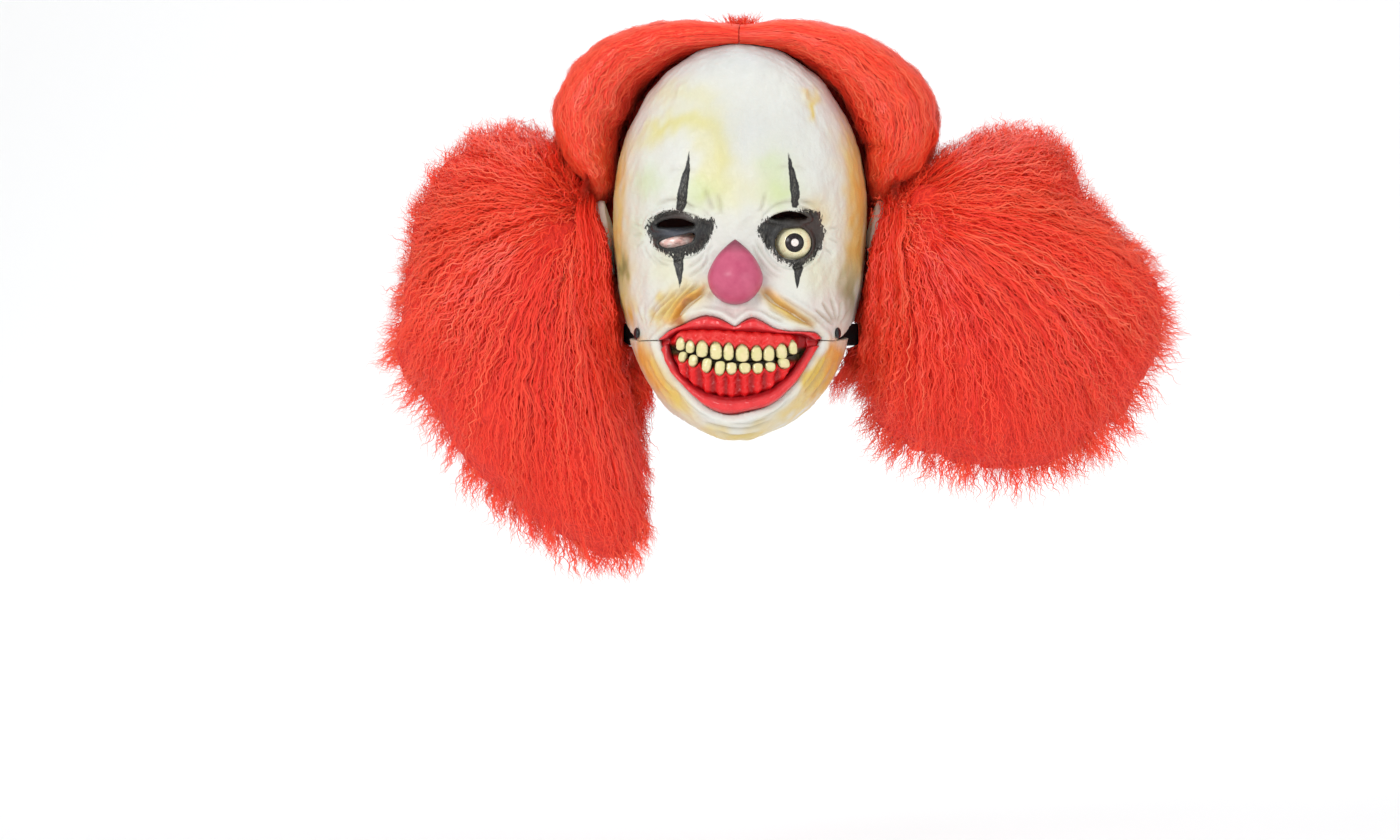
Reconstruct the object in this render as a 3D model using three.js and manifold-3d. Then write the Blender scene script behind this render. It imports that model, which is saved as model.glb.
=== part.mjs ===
// Latex clown mask with a moving jaw and a red wig, made of separate closed bodies.
// Millimetres. +Z is up, the face looks along -Y, and the origin is the centre of the wearer's head.

import * as THREE from 'three';
import { mergeVertices } from 'three/addons/utils/BufferGeometryUtils.js';
import Module from 'manifold-3d';

const wasm = await Module();
wasm.setup();

// ---------------------------------------------------------------- driving dimensions

const LATEX = 3; // wall of the latex shells
const GAP = 0.4; // clearance between pieces that touch
const FAR = 200; // reach of a cutting prism beyond the mask

const BROW_Z = 20; // height of the widest section of the head
const CROWN_RISE = 118; // from that section to the crown
const HEAD_HALF_WIDTH = 89.5;
const HEAD_FRONT = -103;
const HEAD_REAR = 100;
const FACE_FLATNESS = 0.87; // power of the sine and cosine in the front half of a section

// Sections below the brow: height, half width, foremost, widest and rearmost place.
const LOWER_SECTIONS = [
  [20, 89.5, -103, 0, 100],
  [-10, 89, -98, 0, 98],
  [-38, 86, -99, -2, 94],
  [-62, 80, -106, -6, 84],
  [-82, 74, -109, -14, 62],
  [-100, 66, -109, -25, 34],
  [-115, 55, -107, -38, 6],
  [-127, 42, -103, -50, -16],
  [-136, 27, -97, -61, -38],
  [-141.5, 13, -88, -69, -54],
];
const CHIN_POLE = new THREE.Vector3(0, -71, -143);

const CAP_FRONT_Y = 14; // where the latex ends and the wig cap begins
const CAP_HEM_Z = -58;

const PIVOT = new THREE.Vector3(69, -62, -69); // stud on the right, on the outer surface
const PIVOT_TURN = THREE.MathUtils.degToRad(23); // stud axis away from the X axis
const JAW_SPLIT_Z = -74; // the cut from the mouth corner to below the stud
const NOTCH_TOP_SLOPE = Math.tan(THREE.MathUtils.degToRad(17));
const NOTCH_LOW_SLOPE = Math.tan(THREE.MathUtils.degToRad(3));
const JAW_REAR_Y = -12;
const JAW_HEM_Y = -52; // where the jaw's underside ends at the neck opening

const STUD_RADIUS = 2;
const STUD_HEAD_RADIUS = 4;
const STUD_CLEARANCE = 0.3;
const TAB_CLEARANCE = 1.4; // round the stud in the jaw's tab, so that the jaw turns freely
const TAB_DEPTH = 4.2; // from the outer surface to the jaw's tab
const TAB_THICKNESS = 2;
const TAB_OUTLINE = [[-71, -84], [-71, -66], [-67, -62], [-57, -62], [-53, -66], [-53, -84]]; // [y, z]
const STRAP_STEPS = 30;
const STRAP_WIDTH = 15;
const STRAP_THICKNESS = 1.5;
const STRAP_RISE = 0.5; // its middle above the studs
const STRAP_LEAN = 0.3; // how far its lower edge leans in beside the jaw, per unit of width

const LIP_HEIGHT = 4; // above the latex
const GUM_DEPTH = 9; // below the outer surface of the latex
const BITE_Z = -90;
const TOOTH_THICKNESS = 4.2;
const TOOTH_SPACE = 0.9;
const UPPER_ROW = { count: 10, reach: 42, gumZ: -76.5, edgeZ: -89.2, rise: 3 };
const LOWER_ROW = { count: 9, reach: 38, gumZ: -101, edgeZ: -90, rise: 2 };

const BALL_RADIUS = 13;
const BALL_PLACE = [39, -7];
const BALL_DEPTH = 5; // its centre behind the outer surface
const SQUINT_PLACE = [-40, -6];
const SQUINT_RADII = [15, 12, 8];
const SQUINT_DEPTH = 9;
const GAZE = THREE.MathUtils.degToRad(9); // the bulging eye looks a little to +X
const IRIS_RADIUS = 6.6;
const IRIS_THICKNESS = 1.6;
const PUPIL_RADIUS = 2.8;
const PUPIL_THICKNESS = 0.9;

const NOSE_Z = [-50, -5]; // lowest and highest point
const NOSE_Y = -103;
const NOSE_RADIUS = 19;

const EAR_RADII = [7, 15, 27];
const EAR_PLACE = [95, 2, 0];
const EAR_TILT = 8; // degrees
const TIE_PLACE = [107, 32, 16]; // behind the top of the ear
const TIE_RADIUS = 13;
const TIE_CORD_RADIUS = 3;
const TIE_TURN = THREE.MathUtils.degToRad(55);
const HAIR_LIFT = 1.5; // from the latex to the underside of the hair
const HAIR_GAP = 1; // between two masses of hair
const TIE_GAP = 0.6; // between the hair and its tie
const CAP_HAIR_DEPTH = 20; // thickness of the hair on the cap

// ---------------------------------------------------------------- materials

function makeMaterial(color, roughness) {
  return new THREE.MeshStandardMaterial({ color, roughness, metalness: 0 });
}

const whiteLatex = makeMaterial(0xe9e6da, 0.42);
const blackPaint = makeMaterial(0x14110f, 0.5);
const redLatex = makeMaterial(0xc41f2c, 0.3);
const noseLatex = makeMaterial(0xb23a63, 0.35);
const gumLatex = makeMaterial(0xc0212b, 0.25);
const toothPaint = makeMaterial(0xe6dfae, 0.3);
const eyePaint = makeMaterial(0xe9e3ab, 0.12);
const pinkEyePaint = makeMaterial(0xe3b9ab, 0.2);
const redHair = makeMaterial(0xd8322a, 0.7);
const capFabric = makeMaterial(0x7c1512, 0.9);
const blackElastic = makeMaterial(0x17151a, 0.85);
const foam = makeMaterial(0x3a3a3d, 0.95);
const studMetal = makeMaterial(0x1b1a1c, 0.35);

// ---------------------------------------------------------------- solids

// The volume under a triangle list, positive when its faces point out.
function signedVolume(geometry) {
  const place = geometry.attributes.position;
  const order = geometry.index.array;
  const [a, b, c] = [new THREE.Vector3(), new THREE.Vector3(), new THREE.Vector3()];
  let total = 0;
  for (let i = 0; i < order.length; i += 3) {
    a.fromBufferAttribute(place, order[i]);
    b.fromBufferAttribute(place, order[i + 1]);
    c.fromBufferAttribute(place, order[i + 2]);
    total += a.dot(b.cross(c)) / 6;
  }
  return total;
}

// A closed body through rings of points, each end closed by one point.
function loft(rings, startPoint, endPoint) {
  const count = rings[0].length;
  const points = [startPoint, ...rings.flat(), endPoint];
  const last = points.length - 1;
  const faces = [];
  for (let i = 0; i < count; i++) {
    const next = (i + 1) % count;
    faces.push(0, 1 + next, 1 + i);
    for (let r = 0; r < rings.length - 1; r++) {
      const low = 1 + r * count;
      const high = low + count;
      faces.push(low + i, low + next, high + i);
      faces.push(low + next, high + next, high + i);
    }
    faces.push(last, last - count + i, last - count + next);
  }
  const geometry = new THREE.BufferGeometry().setFromPoints(points);
  geometry.setIndex(faces);
  if (signedVolume(geometry) < 0) {
    geometry.index.array.reverse();
  }
  return geometry;
}

function toSolid(geometry) {
  const bare = geometry.clone();
  bare.deleteAttribute('normal');
  bare.deleteAttribute('uv');
  const merged = mergeVertices(bare, 1e-4);
  return new wasm.Manifold(new wasm.Mesh({
    numProp: 3,
    vertProperties: new Float32Array(merged.attributes.position.array),
    triVerts: new Uint32Array(merged.index.array),
  }));
}

function toGeometry(solid) {
  const mesh = solid.getMesh();
  const geometry = new THREE.BufferGeometry();
  geometry.setAttribute('position', new THREE.BufferAttribute(mesh.vertProperties, 3));
  geometry.setIndex(new THREE.BufferAttribute(mesh.triVerts, 1));
  geometry.computeVertexNormals();
  return geometry;
}

// A prism across the mask, from an outline of [y, z] points.
function sidePrism(outline, fromX = -FAR, toX = FAR) {
  const shape = new THREE.Shape(outline.map(([y, z]) => new THREE.Vector2(y, z)));
  const prism = new THREE.ExtrudeGeometry(shape, { depth: toX - fromX, bevelEnabled: false });
  const turn = new THREE.Matrix4().makeBasis(
    new THREE.Vector3(0, 1, 0), new THREE.Vector3(0, 0, 1), new THREE.Vector3(1, 0, 0),
  );
  return toSolid(prism.applyMatrix4(turn).translate(fromX, 0, 0));
}

// A prism along the line of sight, from an outline of [x, z] points.
function frontPrism(outline, fromY = -FAR, toY = -45) {
  const shape = new THREE.Shape(outline.map(([x, z]) => new THREE.Vector2(x, z)));
  const prism = new THREE.ExtrudeGeometry(shape, { depth: toY - fromY, bevelEnabled: false });
  return toSolid(prism.rotateX(Math.PI / 2).translate(0, toY, 0));
}

function boxSolid([x0, y0, z0], [x1, y1, z1]) {
  const box = new THREE.BoxGeometry(x1 - x0, y1 - y0, z1 - z0);
  return toSolid(box.translate((x0 + x1) / 2, (y0 + y1) / 2, (z0 + z1) / 2));
}

function ellipsoid([rx, ry, rz], [x, y, z], columns = 18, rows = 10) {
  const ball = new THREE.SphereGeometry(1, columns, rows);
  return toSolid(ball.scale(rx, ry, rz).translate(x, y, z));
}

// ---------------------------------------------------------------- head surface

function blendRows(rows, place) {
  const step = Math.min(Math.floor(place), rows.length - 2);
  const t = place - step;
  const [p1, p2] = [rows[step], rows[step + 1]];
  const p0 = step > 0 ? rows[step - 1] : p1.map((v, i) => (i === 0 ? 2 * v - p2[i] : p2[i]));
  const p3 = rows[step + 2] ?? p2.map((v, i) => 2 * v - p1[i]);
  return p1.map((v, i) => v + 0.5 * t * (p2[i] - p0[i]
    + t * (2 * p0[i] - 5 * v + 4 * p2[i] - p3[i] + t * (3 * (v - p2[i]) + p3[i] - p0[i]))));
}

// A level section of the head: level 1 is the crown, 0 the brow and -1 just above the chin's lowest point.
function headSection(level) {
  if (level < 0) {
    return blendRows(LOWER_SECTIONS, -level * (LOWER_SECTIONS.length - 1));
  }
  const rise = level * Math.PI / 2;
  const ring = Math.cos(rise);
  const height = BROW_Z + CROWN_RISE * Math.sin(rise);
  return [height, HEAD_HALF_WIDTH * ring, HEAD_FRONT * ring ** 0.9, 0, HEAD_REAR * ring];
}

function bump(x, z, place, size) {
  const across = (x - place[0]) / size[0];
  const up = (z - place[1]) / size[1];
  return Math.exp(-(across ** 2) - up ** 2);
}

// How far the face stands forward of the plain head at a place seen from the front.
function relief(x, z) {
  const side = Math.abs(x);
  return 4 * bump(side, z, [52, -38], [20, 18])
    + 3 * bump(side, z, [40, 28], [24, 10])
    + 5 * bump(x, z, [0, -2], [9, 22])
    - 7 * bump(x, z, [-40, -1], [20, 13])
    - 7 * bump(x, z, [41, -2], [19, 15]);
}

const shaped = (value, power) => Math.sign(value) * Math.abs(value) ** power;

function plainHeadPoint(level, turn) {
  const [z, half, front, centre, rear] = headSection(level);
  const forward = Math.cos(turn);
  const power = forward > 0 ? FACE_FLATNESS : 1;
  const x = half * shaped(Math.sin(turn), power);
  const reach = (forward > 0 ? front : rear) - centre;
  const y = centre + reach * Math.abs(forward) ** power;
  return new THREE.Vector3(x, y - relief(x, z) * Math.max(forward, 0), z);
}

// A point on the head's outer surface moved out by grow; turn 0 is the middle of the face.
function headPoint(level, turn, grow = 0) {
  const step = 0.004;
  const point = plainHeadPoint(level, turn);
  if (grow === 0) {
    return point;
  }
  const across = plainHeadPoint(level, turn + step).sub(plainHeadPoint(level, turn - step));
  const high = Math.min(level + step, 1);
  const low = Math.max(level - step, -1);
  const along = plainHeadPoint(high, turn).sub(plainHeadPoint(low, turn));
  return point.addScaledVector(across.cross(along).normalize(), grow);
}

function levelAtHeight(z) {
  let [low, high] = [-1, 1];
  for (let i = 0; i < 30; i++) {
    const middle = (low + high) / 2;
    if (headSection(middle)[0] < z) {
      low = middle;
    } else {
      high = middle;
    }
  }
  return low;
}

// The whole head as a closed body, moved out by grow.
function headSolid(grow, columns = 32, crownRings = 10, faceRings = 14) {
  const rings = [];
  const addRing = (level) => {
    const ring = [];
    for (let i = 0; i < columns; i++) {
      ring.push(headPoint(level, (i / columns) * 2 * Math.PI, grow));
    }
    rings.push(ring);
  };
  for (let i = 1; i <= crownRings; i++) {
    addRing(1 - i / crownRings);
  }
  for (let i = 1; i <= faceRings; i++) {
    addRing(-i / faceRings);
  }
  const crown = new THREE.Vector3(0, 0, BROW_Z + CROWN_RISE + grow);
  const chin = CHIN_POLE.clone().add(new THREE.Vector3(0, 0, -grow));
  return toSolid(loft(rings, crown, chin));
}

const headOuter = headSolid(0);
const headInner = headSolid(-LATEX);
const headClear = headSolid(GAP);
const headLining = headSolid(-LATEX - GAP);
const wholeShell = headOuter.subtract(headInner);

// The head in larger facets, for the hair that lies on it.
const roughHead = (grow) => headSolid(grow, 20, 6, 7);

// The turn at which a level of the face reaches x.
function turnAt(level, x) {
  let [low, high] = [-Math.PI / 2, Math.PI / 2];
  for (let i = 0; i < 30; i++) {
    const middle = (low + high) / 2;
    if (plainHeadPoint(level, middle).x < x) {
      low = middle;
    } else {
      high = middle;
    }
  }
  return low;
}

// Where a piece seen from the front at (x, z) meets the outer surface.
function surfaceY(x, z) {
  const level = levelAtHeight(z);
  return plainHeadPoint(level, turnAt(level, x)).y;
}

// ---------------------------------------------------------------- jaw split and mouth

const MOUTH_TOP = [[-56, -72], [-46, -64.5], [-30, -59.5], [-14, -57.5], [0, -63]];
const MOUTH_LOW = [[-55, -76], [-50, -90], [-43, -103], [-29, -116], [-10, -125.5]];
const LIP_TOP_INNER = [[-50, -72.5], [-34, -69], [-14, -67], [0, -68.5]];
const LIP_LOW_INNER = [[-49, -76], [-45, -89], [-39.5, -99.5], [-25, -109], [-9, -114]];
const MOUTH_CENTRE = [0, -88];

function mirrored(outline) {
  const other = outline.filter(([x]) => x !== 0).map(([x, z]) => [-x, z]);
  return [...outline, ...other.reverse()];
}

function shrunk(outline, amount) {
  return outline.map(([x, z]) => {
    const away = new THREE.Vector2(x - MOUTH_CENTRE[0], z - MOUTH_CENTRE[1]);
    away.setLength(away.length() - amount);
    return [MOUTH_CENTRE[0] + away.x, MOUTH_CENTRE[1] + away.y];
  });
}

const lowerHalf = [...mirrored(MOUTH_LOW)].reverse();
const mouthOutline = [...mirrored(MOUTH_TOP), ...lowerHalf];

// The region of the jaw in side view, below the split and the open notch, down to the neck opening.
function jawRegion(drop) {
  const stepBack = JAW_REAR_Y - PIVOT.y;
  return sidePrism([
    [-FAR, JAW_SPLIT_Z - drop],
    [PIVOT.y, JAW_SPLIT_Z - drop],
    [JAW_REAR_Y, JAW_SPLIT_Z - drop + stepBack * NOTCH_LOW_SLOPE],
    [JAW_REAR_Y, JAW_SPLIT_Z - 6],
    [JAW_HEM_Y, -FAR],
    [-FAR, -FAR],
  ]);
}

// The region of the upper face in side view, above the split and the notch.
function faceRegion() {
  return sidePrism([
    [-FAR, JAW_SPLIT_Z],
    [PIVOT.y, JAW_SPLIT_Z],
    [CAP_FRONT_Y, JAW_SPLIT_Z + (CAP_FRONT_Y - PIVOT.y) * NOTCH_TOP_SLOPE],
    [CAP_FRONT_Y, FAR],
    [-FAR, FAR],
  ]);
}

const mouthPrism = frontPrism(mouthOutline);

function studPlaced(solid, side) {
  const axis = new THREE.Vector3(Math.cos(PIVOT_TURN), -Math.sin(PIVOT_TURN), 0);
  const turn = new THREE.Quaternion().setFromUnitVectors(new THREE.Vector3(0, 1, 0), axis);
  const place = solid.applyQuaternion(turn).translate(PIVOT.x, PIVOT.y, PIVOT.z);
  if (side < 0) {
    place.scale(-1, 1, 1);
    place.index.array.reverse();
  }
  return place;
}

function studHole(side, radius) {
  return toSolid(studPlaced(new THREE.CylinderGeometry(radius, radius, 40, 14), side));
}

// ---------------------------------------------------------------- eyes and nose

const ballCentre = [BALL_PLACE[0], surfaceY(...BALL_PLACE) + BALL_DEPTH, BALL_PLACE[1]];
const squintCentre = [SQUINT_PLACE[0], surfaceY(...SQUINT_PLACE) + SQUINT_DEPTH, SQUINT_PLACE[1]];

// A disc on the bulging eyeball, with its flat side at a distance from the ball's centre.
function disc(radius, thickness, distance) {
  const profile = [
    new THREE.Vector2(0, 0),
    new THREE.Vector2(radius, 0),
    new THREE.Vector2(radius, thickness * 0.5),
    new THREE.Vector2(radius * 0.6, thickness * 0.85),
    new THREE.Vector2(0, thickness),
  ];
  const flat = new THREE.LatheGeometry(profile, 16).rotateX(Math.PI).translate(0, -distance, 0);
  return toSolid(flat.rotateZ(GAZE).translate(...ballCentre));
}

const IRIS_SEAT = BALL_RADIUS * 0.86; // from the ball's centre
const RECESS_LENGTH = 20;

function bulgingEyeball() {
  const recess = new THREE.CylinderGeometry(IRIS_RADIUS + GAP, IRIS_RADIUS + GAP, RECESS_LENGTH, 16)
    .translate(0, -IRIS_SEAT - RECESS_LENGTH / 2, 0).rotateZ(GAZE).translate(...ballCentre);
  return ellipsoid([BALL_RADIUS, BALL_RADIUS, BALL_RADIUS], ballCentre).subtract(toSolid(recess));
}

function nose(grow) {
  const [low, high] = NOSE_Z;
  const bulbZ = low + NOSE_RADIUS;
  const rings = [];
  const ringAt = (z, radius) => {
    const ring = [];
    const reach = radius + grow;
    for (let i = 0; i < 20; i++) {
      const turn = (i / 20) * 2 * Math.PI;
      ring.push(new THREE.Vector3(reach * Math.sin(turn), NOSE_Y + reach * Math.cos(turn), z));
    }
    rings.push(ring);
  };
  for (const rise of [-68, -45, -22, 0]) {
    const angle = THREE.MathUtils.degToRad(rise);
    ringAt(bulbZ + NOSE_RADIUS * Math.sin(angle), NOSE_RADIUS * Math.cos(angle));
  }
  for (const part of [0.25, 0.5, 0.72, 0.9]) {
    ringAt(bulbZ + (high - bulbZ) * part, NOSE_RADIUS * (1 - part ** 1.7) ** 0.9);
  }
  const [bottom, top] = [low - grow, high + grow].map((z) => new THREE.Vector3(0, NOSE_Y, z));
  return toSolid(loft(rings, bottom, top));
}

const sightSlits = [
  boxSolid([-52, -130, 3.5], [-32, -60, 9]),
  boxSolid([28, -130, 8.5], [46, -60, 14]),
];

// ---------------------------------------------------------------- latex shells

function faceShell() {
  let shell = wholeShell.intersect(faceRegion()).subtract(mouthPrism);
  for (const slit of sightSlits) {
    shell = shell.subtract(slit);
  }
  const ballRoom = BALL_RADIUS + GAP;
  shell = shell.subtract(ellipsoid([ballRoom, ballRoom, ballRoom], ballCentre));
  shell = shell.subtract(ellipsoid(SQUINT_RADII.map((r) => r + GAP), squintCentre));
  for (const side of [-1, 1]) {
    shell = shell.subtract(studHole(side, STUD_RADIUS + STUD_CLEARANCE));
  }
  return shell;
}

// The jaw's tabs lie inside the face shell, where the studs hold them.
function jawTab(side) {
  const [fromX, toX] = side > 0 ? [PIVOT.x / 2, FAR] : [-FAR, -PIVOT.x / 2];
  const column = sidePrism(TAB_OUTLINE, fromX, toX);
  const inside = headSolid(-TAB_DEPTH - TAB_THICKNESS);
  const tab = headSolid(-TAB_DEPTH).subtract(inside).intersect(column);
  const root = headSolid(-1).subtract(inside).intersect(column).intersect(jawRegion(GAP));
  return tab.add(root).subtract(studHole(side, STUD_RADIUS + TAB_CLEARANCE));
}

function jawShell() {
  const shell = wholeShell.intersect(jawRegion(GAP)).subtract(mouthPrism);
  return shell.add(jawTab(-1)).add(jawTab(1));
}

function wigCap() {
  return wholeShell.intersect(boxSolid([-FAR, CAP_FRONT_Y + GAP, CAP_HEM_Z], [FAR, FAR, FAR]));
}

// ---------------------------------------------------------------- mouth

const lipBand = headSolid(LIP_HEIGHT).subtract(headInner);
const gumBand = headLining.subtract(headSolid(-GUM_DEPTH));

function upperLip() {
  const top = shrunk(mirrored(MOUTH_TOP), GAP);
  return lipBand.intersect(frontPrism([...top, ...[...mirrored(LIP_TOP_INNER)].reverse()]));
}

function lowerLip() {
  const low = shrunk(mirrored(MOUTH_LOW), GAP);
  return lipBand.intersect(frontPrism([...low, ...[...mirrored(LIP_LOW_INNER)].reverse()]));
}

function upperGum() {
  const top = mirrored([[-51, -76], [-51, -70], [-34, -66], [-14, -62], [0, -65]]);
  const bite = mirrored([[-44, -80], [-30, BITE_Z + GAP]]);
  return gumBand.intersect(frontPrism([...top, ...[...bite].reverse()]));
}

function lowerGum() {
  const bite = mirrored([[-47, -81], [-44, -84], [-30, BITE_Z - GAP]]);
  const low = mirrored([[-45, -94], [-37, -103], [-24, -111], [-9, -116]]);
  return gumBand.intersect(frontPrism([...bite, ...[...low].reverse()]));
}

// One tooth as a rounded block that narrows towards its biting edge.
function tooth(x, gumZ, edgeZ, pitch) {
  const level = levelAtHeight((gumZ + edgeZ) / 2);
  const turn = turnAt(level, x);
  const seat = headPoint(level, turn, -LATEX + 0.6 + TOOTH_THICKNESS / 2);
  const along = headPoint(level, turn + 0.02).sub(headPoint(level, turn - 0.02)).setZ(0).normalize();
  const out = new THREE.Vector3(along.y, -along.x, 0);
  const width = pitch / along.x - TOOTH_SPACE;
  const rings = [0.1, 0.4, 0.75, 0.94].map((part, row) => {
    const size = [0.72, 0.98, 1, 0.7][row];
    const ring = [];
    for (let i = 0; i < 8; i++) {
      const around = (i / 8) * 2 * Math.PI;
      const point = seat.clone().setZ(gumZ + (edgeZ - gumZ) * part);
      point.addScaledVector(along, 0.5 * width * size * shaped(Math.cos(around), 0.6));
      point.addScaledVector(out, 0.5 * TOOTH_THICKNESS * size * shaped(Math.sin(around), 0.6));
      ring.push(point);
    }
    return ring;
  });
  return toSolid(loft(rings, seat.clone().setZ(gumZ), seat.clone().setZ(edgeZ)));
}

function toothRow({ count, reach, gumZ, edgeZ, rise }) {
  const pitch = (2 * reach) / count;
  return Array.from({ length: count }, (_, i) => {
    const x = (i + 0.5) * pitch - reach;
    const lift = rise * (x / reach) ** 2;
    return tooth(x, gumZ + lift, edgeZ + lift, pitch);
  });
}

// ---------------------------------------------------------------- strap, studs and pads

// The strap's course from the front end on the right to the middle of the nape: [x, y].
const STRAP_COURSE = [[56.4, -68.4], [60.1, -58.3], [64.1, -48], [66.6, -34], [67.4, -20], [69.8, -9.5],
  [78, 2], [83, 16], [81, 45], [66, 74], [38, 93], [0, 99]];

function napeStrap() {
  const route = mirrored(STRAP_COURSE);
  const curve = new THREE.CatmullRomCurve3(route.map(([x, y]) => new THREE.Vector3(x, y, 0)));
  const samples = curve.getPoints(STRAP_STEPS);
  const rings = samples.map((point, i) => {
    const along = curve.getTangent(i / STRAP_STEPS);
    const out = new THREE.Vector3(along.y, -along.x, 0);
    const lean = STRAP_LEAN * THREE.MathUtils.smoothstep(-point.y, -10, 20) * Math.sign(out.x);
    return [[0.5, 0.5], [0.5, -0.5], [-0.5, -0.5], [-0.5, 0.5]].map(([across, up]) => point.clone()
      .addScaledVector(out, across * STRAP_THICKNESS + up * STRAP_WIDTH * lean * Math.sign(out.x))
      .setZ(PIVOT.z + STRAP_RISE + up * STRAP_WIDTH));
  });
  const atMiddle = (point) => point.clone().setZ(PIVOT.z + STRAP_RISE);
  const [start, end] = [samples[0], samples[STRAP_STEPS]].map(atMiddle);
  const strap = toSolid(loft(rings, start, end));
  const hole = (side) => studHole(side, STUD_RADIUS + STUD_CLEARANCE);
  return strap.subtract(hole(-1)).subtract(hole(1));
}

function stud(side) {
  const [head, shank] = [STUD_HEAD_RADIUS, STUD_RADIUS];
  const profile = [[0, -13.2], [head, -13.2], [head, -12], [shank, -12], [shank, 0.9], [head, 0.9],
    [head, 1.7], [head * 0.6, 2.8], [0, 3.1]];
  const points = profile.map(([radius, height]) => new THREE.Vector2(radius, height));
  return toSolid(studPlaced(new THREE.LatheGeometry(points, 12), side));
}

const foreheadPad = () => headLining.intersect(boxSolid([-36, -FAR, 44], [36, -74, 84]));
const chinPad = () => headLining.intersect(boxSolid([-24, -FAR, -134], [24, -76, -118]));

// ---------------------------------------------------------------- ears and hair

function ear(side, grow) {
  const [x, y, z] = EAR_PLACE;
  const body = ellipsoid(EAR_RADII.map((radius) => radius + grow), [0, 0, 0], 12, 8);
  return body.rotate([0, side * EAR_TILT, 0]).translate([side * x, y, z]).subtract(headClear);
}

// The elastic that gathers a bunch of hair.
function hairTie(side, grow) {
  const [x, y, z] = TIE_PLACE;
  const ring = new THREE.TorusGeometry(TIE_RADIUS, TIE_CORD_RADIUS + grow, 6, 14);
  return toSolid(ring.rotateY(side * TIE_TURN).translate(side * x, y, z));
}

// A lock of hair as a closed body: [x, z, half thickness, half depth, middle y] along its course.
function lobe(course, grow) {
  const places = course.map(([x, z, , , y]) => new THREE.Vector3(x, y, z));
  const curve = new THREE.CatmullRomCurve3(places);
  const steps = 10;
  const rings = [];
  for (let i = 0; i <= steps; i++) {
    const t = i / steps;
    const [, , thick, deep] = blendRows(course, t * (course.length - 1));
    const point = curve.getPoint(t);
    const along = curve.getTangent(t).setY(0).normalize();
    const out = new THREE.Vector3(along.z, 0, -along.x);
    rings.push(Array.from({ length: 14 }, (_, k) => {
      const turn = (k / 14) * 2 * Math.PI;
      return point.clone()
        .addScaledVector(out, (thick + grow) * Math.cos(turn))
        .add(new THREE.Vector3(0, (deep + grow) * Math.sin(turn), 0));
    }));
  }
  return toSolid(loft(rings, curve.getPoint(0), curve.getPoint(1)));
}

const LOBE_RIGHT = [[5, 141, 9, 36, 6], [42, 140, 14, 50, 14], [82, 122, 22, 60, 20], [108, 92, 29, 62, 20],
  [112, 62, 27, 56, 18], [98, 34, 10, 34, 12]];
const LOBE_LEFT = [[-5, 141, 9, 36, 6], [-46, 140, 14, 50, 14], [-86, 122, 22, 60, 20],
  [-106, 94, 26, 62, 20], [-107, 66, 22, 56, 18], [-97, 36, 10, 34, 12]];

function topHair(course, side) {
  return lobe(course, 0).subtract(roughHead(HAIR_LIFT)).subtract(hairTie(side, TIE_GAP));
}

// A bunch of hair: a smooth closed outline seen from the front, rounded front and back.
function puff(outline, centre, middleY, halfDepth) {
  const curve = new THREE.CatmullRomCurve3(outline.map(([x, z]) => new THREE.Vector3(x, 0, z)), true);
  const edge = curve.getPoints(22).slice(0, -1);
  const rings = [];
  for (let row = 1; row < 7; row++) {
    const angle = (row / 7) * Math.PI;
    const swell = Math.sin(angle) ** 0.7;
    rings.push(edge.map((point) => new THREE.Vector3(
      centre[0] + (point.x - centre[0]) * swell,
      middleY - halfDepth * Math.cos(angle),
      centre[1] + (point.z - centre[1]) * swell,
    )));
  }
  const pole = (offset) => new THREE.Vector3(centre[0], middleY + offset, centre[1]);
  return toSolid(loft(rings, pole(-halfDepth), pole(halfDepth)));
}

const PUFF_MIDDLE_Y = 22;
const PUFF_HALF_DEPTH = 68;
const PUFF_CENTRE_LEFT = [-160, -50];
const PUFF_CENTRE_RIGHT = [180, -45];
const PUFF_RIGHT = [[102, 32], [142, 60], [181, 76], [222, 73], [246, 34], [274, 0], [298, -24], [304, -66],
  [290, -104], [262, -138], [214, -166], [172, -168], [112, -150], [88, -120], [84, -60], [92, -10]];
const PUFF_LEFT = [[-102, 30], [-122, 58], [-150, 78], [-184, 78], [-213, 56], [-234, 20], [-244, -30],
  [-250, -84], [-224, -124], [-192, -168], [-146, -208], [-92, -234], [-70, -214], [-70, -150],
  [-78, -90], [-92, -10]];
// The room that a bunch leaves beside the moving jaw and the strap: half width and lowest height.
const JAW_ROOM_LEFT = [86, -95];
const JAW_ROOM_RIGHT = [86, -FAR];
const JAW_ROOM_TOP = -55;

function partingTuft() {
  return ellipsoid([5, 11, 10], [0, 2, 151], 12, 8).subtract(roughHead(HAIR_LIFT))
    .subtract(lobe(LOBE_LEFT, HAIR_GAP)).subtract(lobe(LOBE_RIGHT, HAIR_GAP));
}

function sidePuff(outline, centre, lobeCourse, side) {
  const [reach, lowest] = side > 0 ? JAW_ROOM_RIGHT : JAW_ROOM_LEFT;
  const [fromX, toX] = side > 0 ? [0, reach] : [-reach, 0];
  return puff(outline, centre, PUFF_MIDDLE_Y, PUFF_HALF_DEPTH)
    .subtract(roughHead(HAIR_LIFT))
    .subtract(lobe(lobeCourse, HAIR_GAP))
    .subtract(ear(side, HAIR_GAP))
    .subtract(hairTie(side, TIE_GAP))
    .subtract(boxSolid([fromX, -FAR, lowest], [toX, FAR, JAW_ROOM_TOP]));
}

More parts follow.
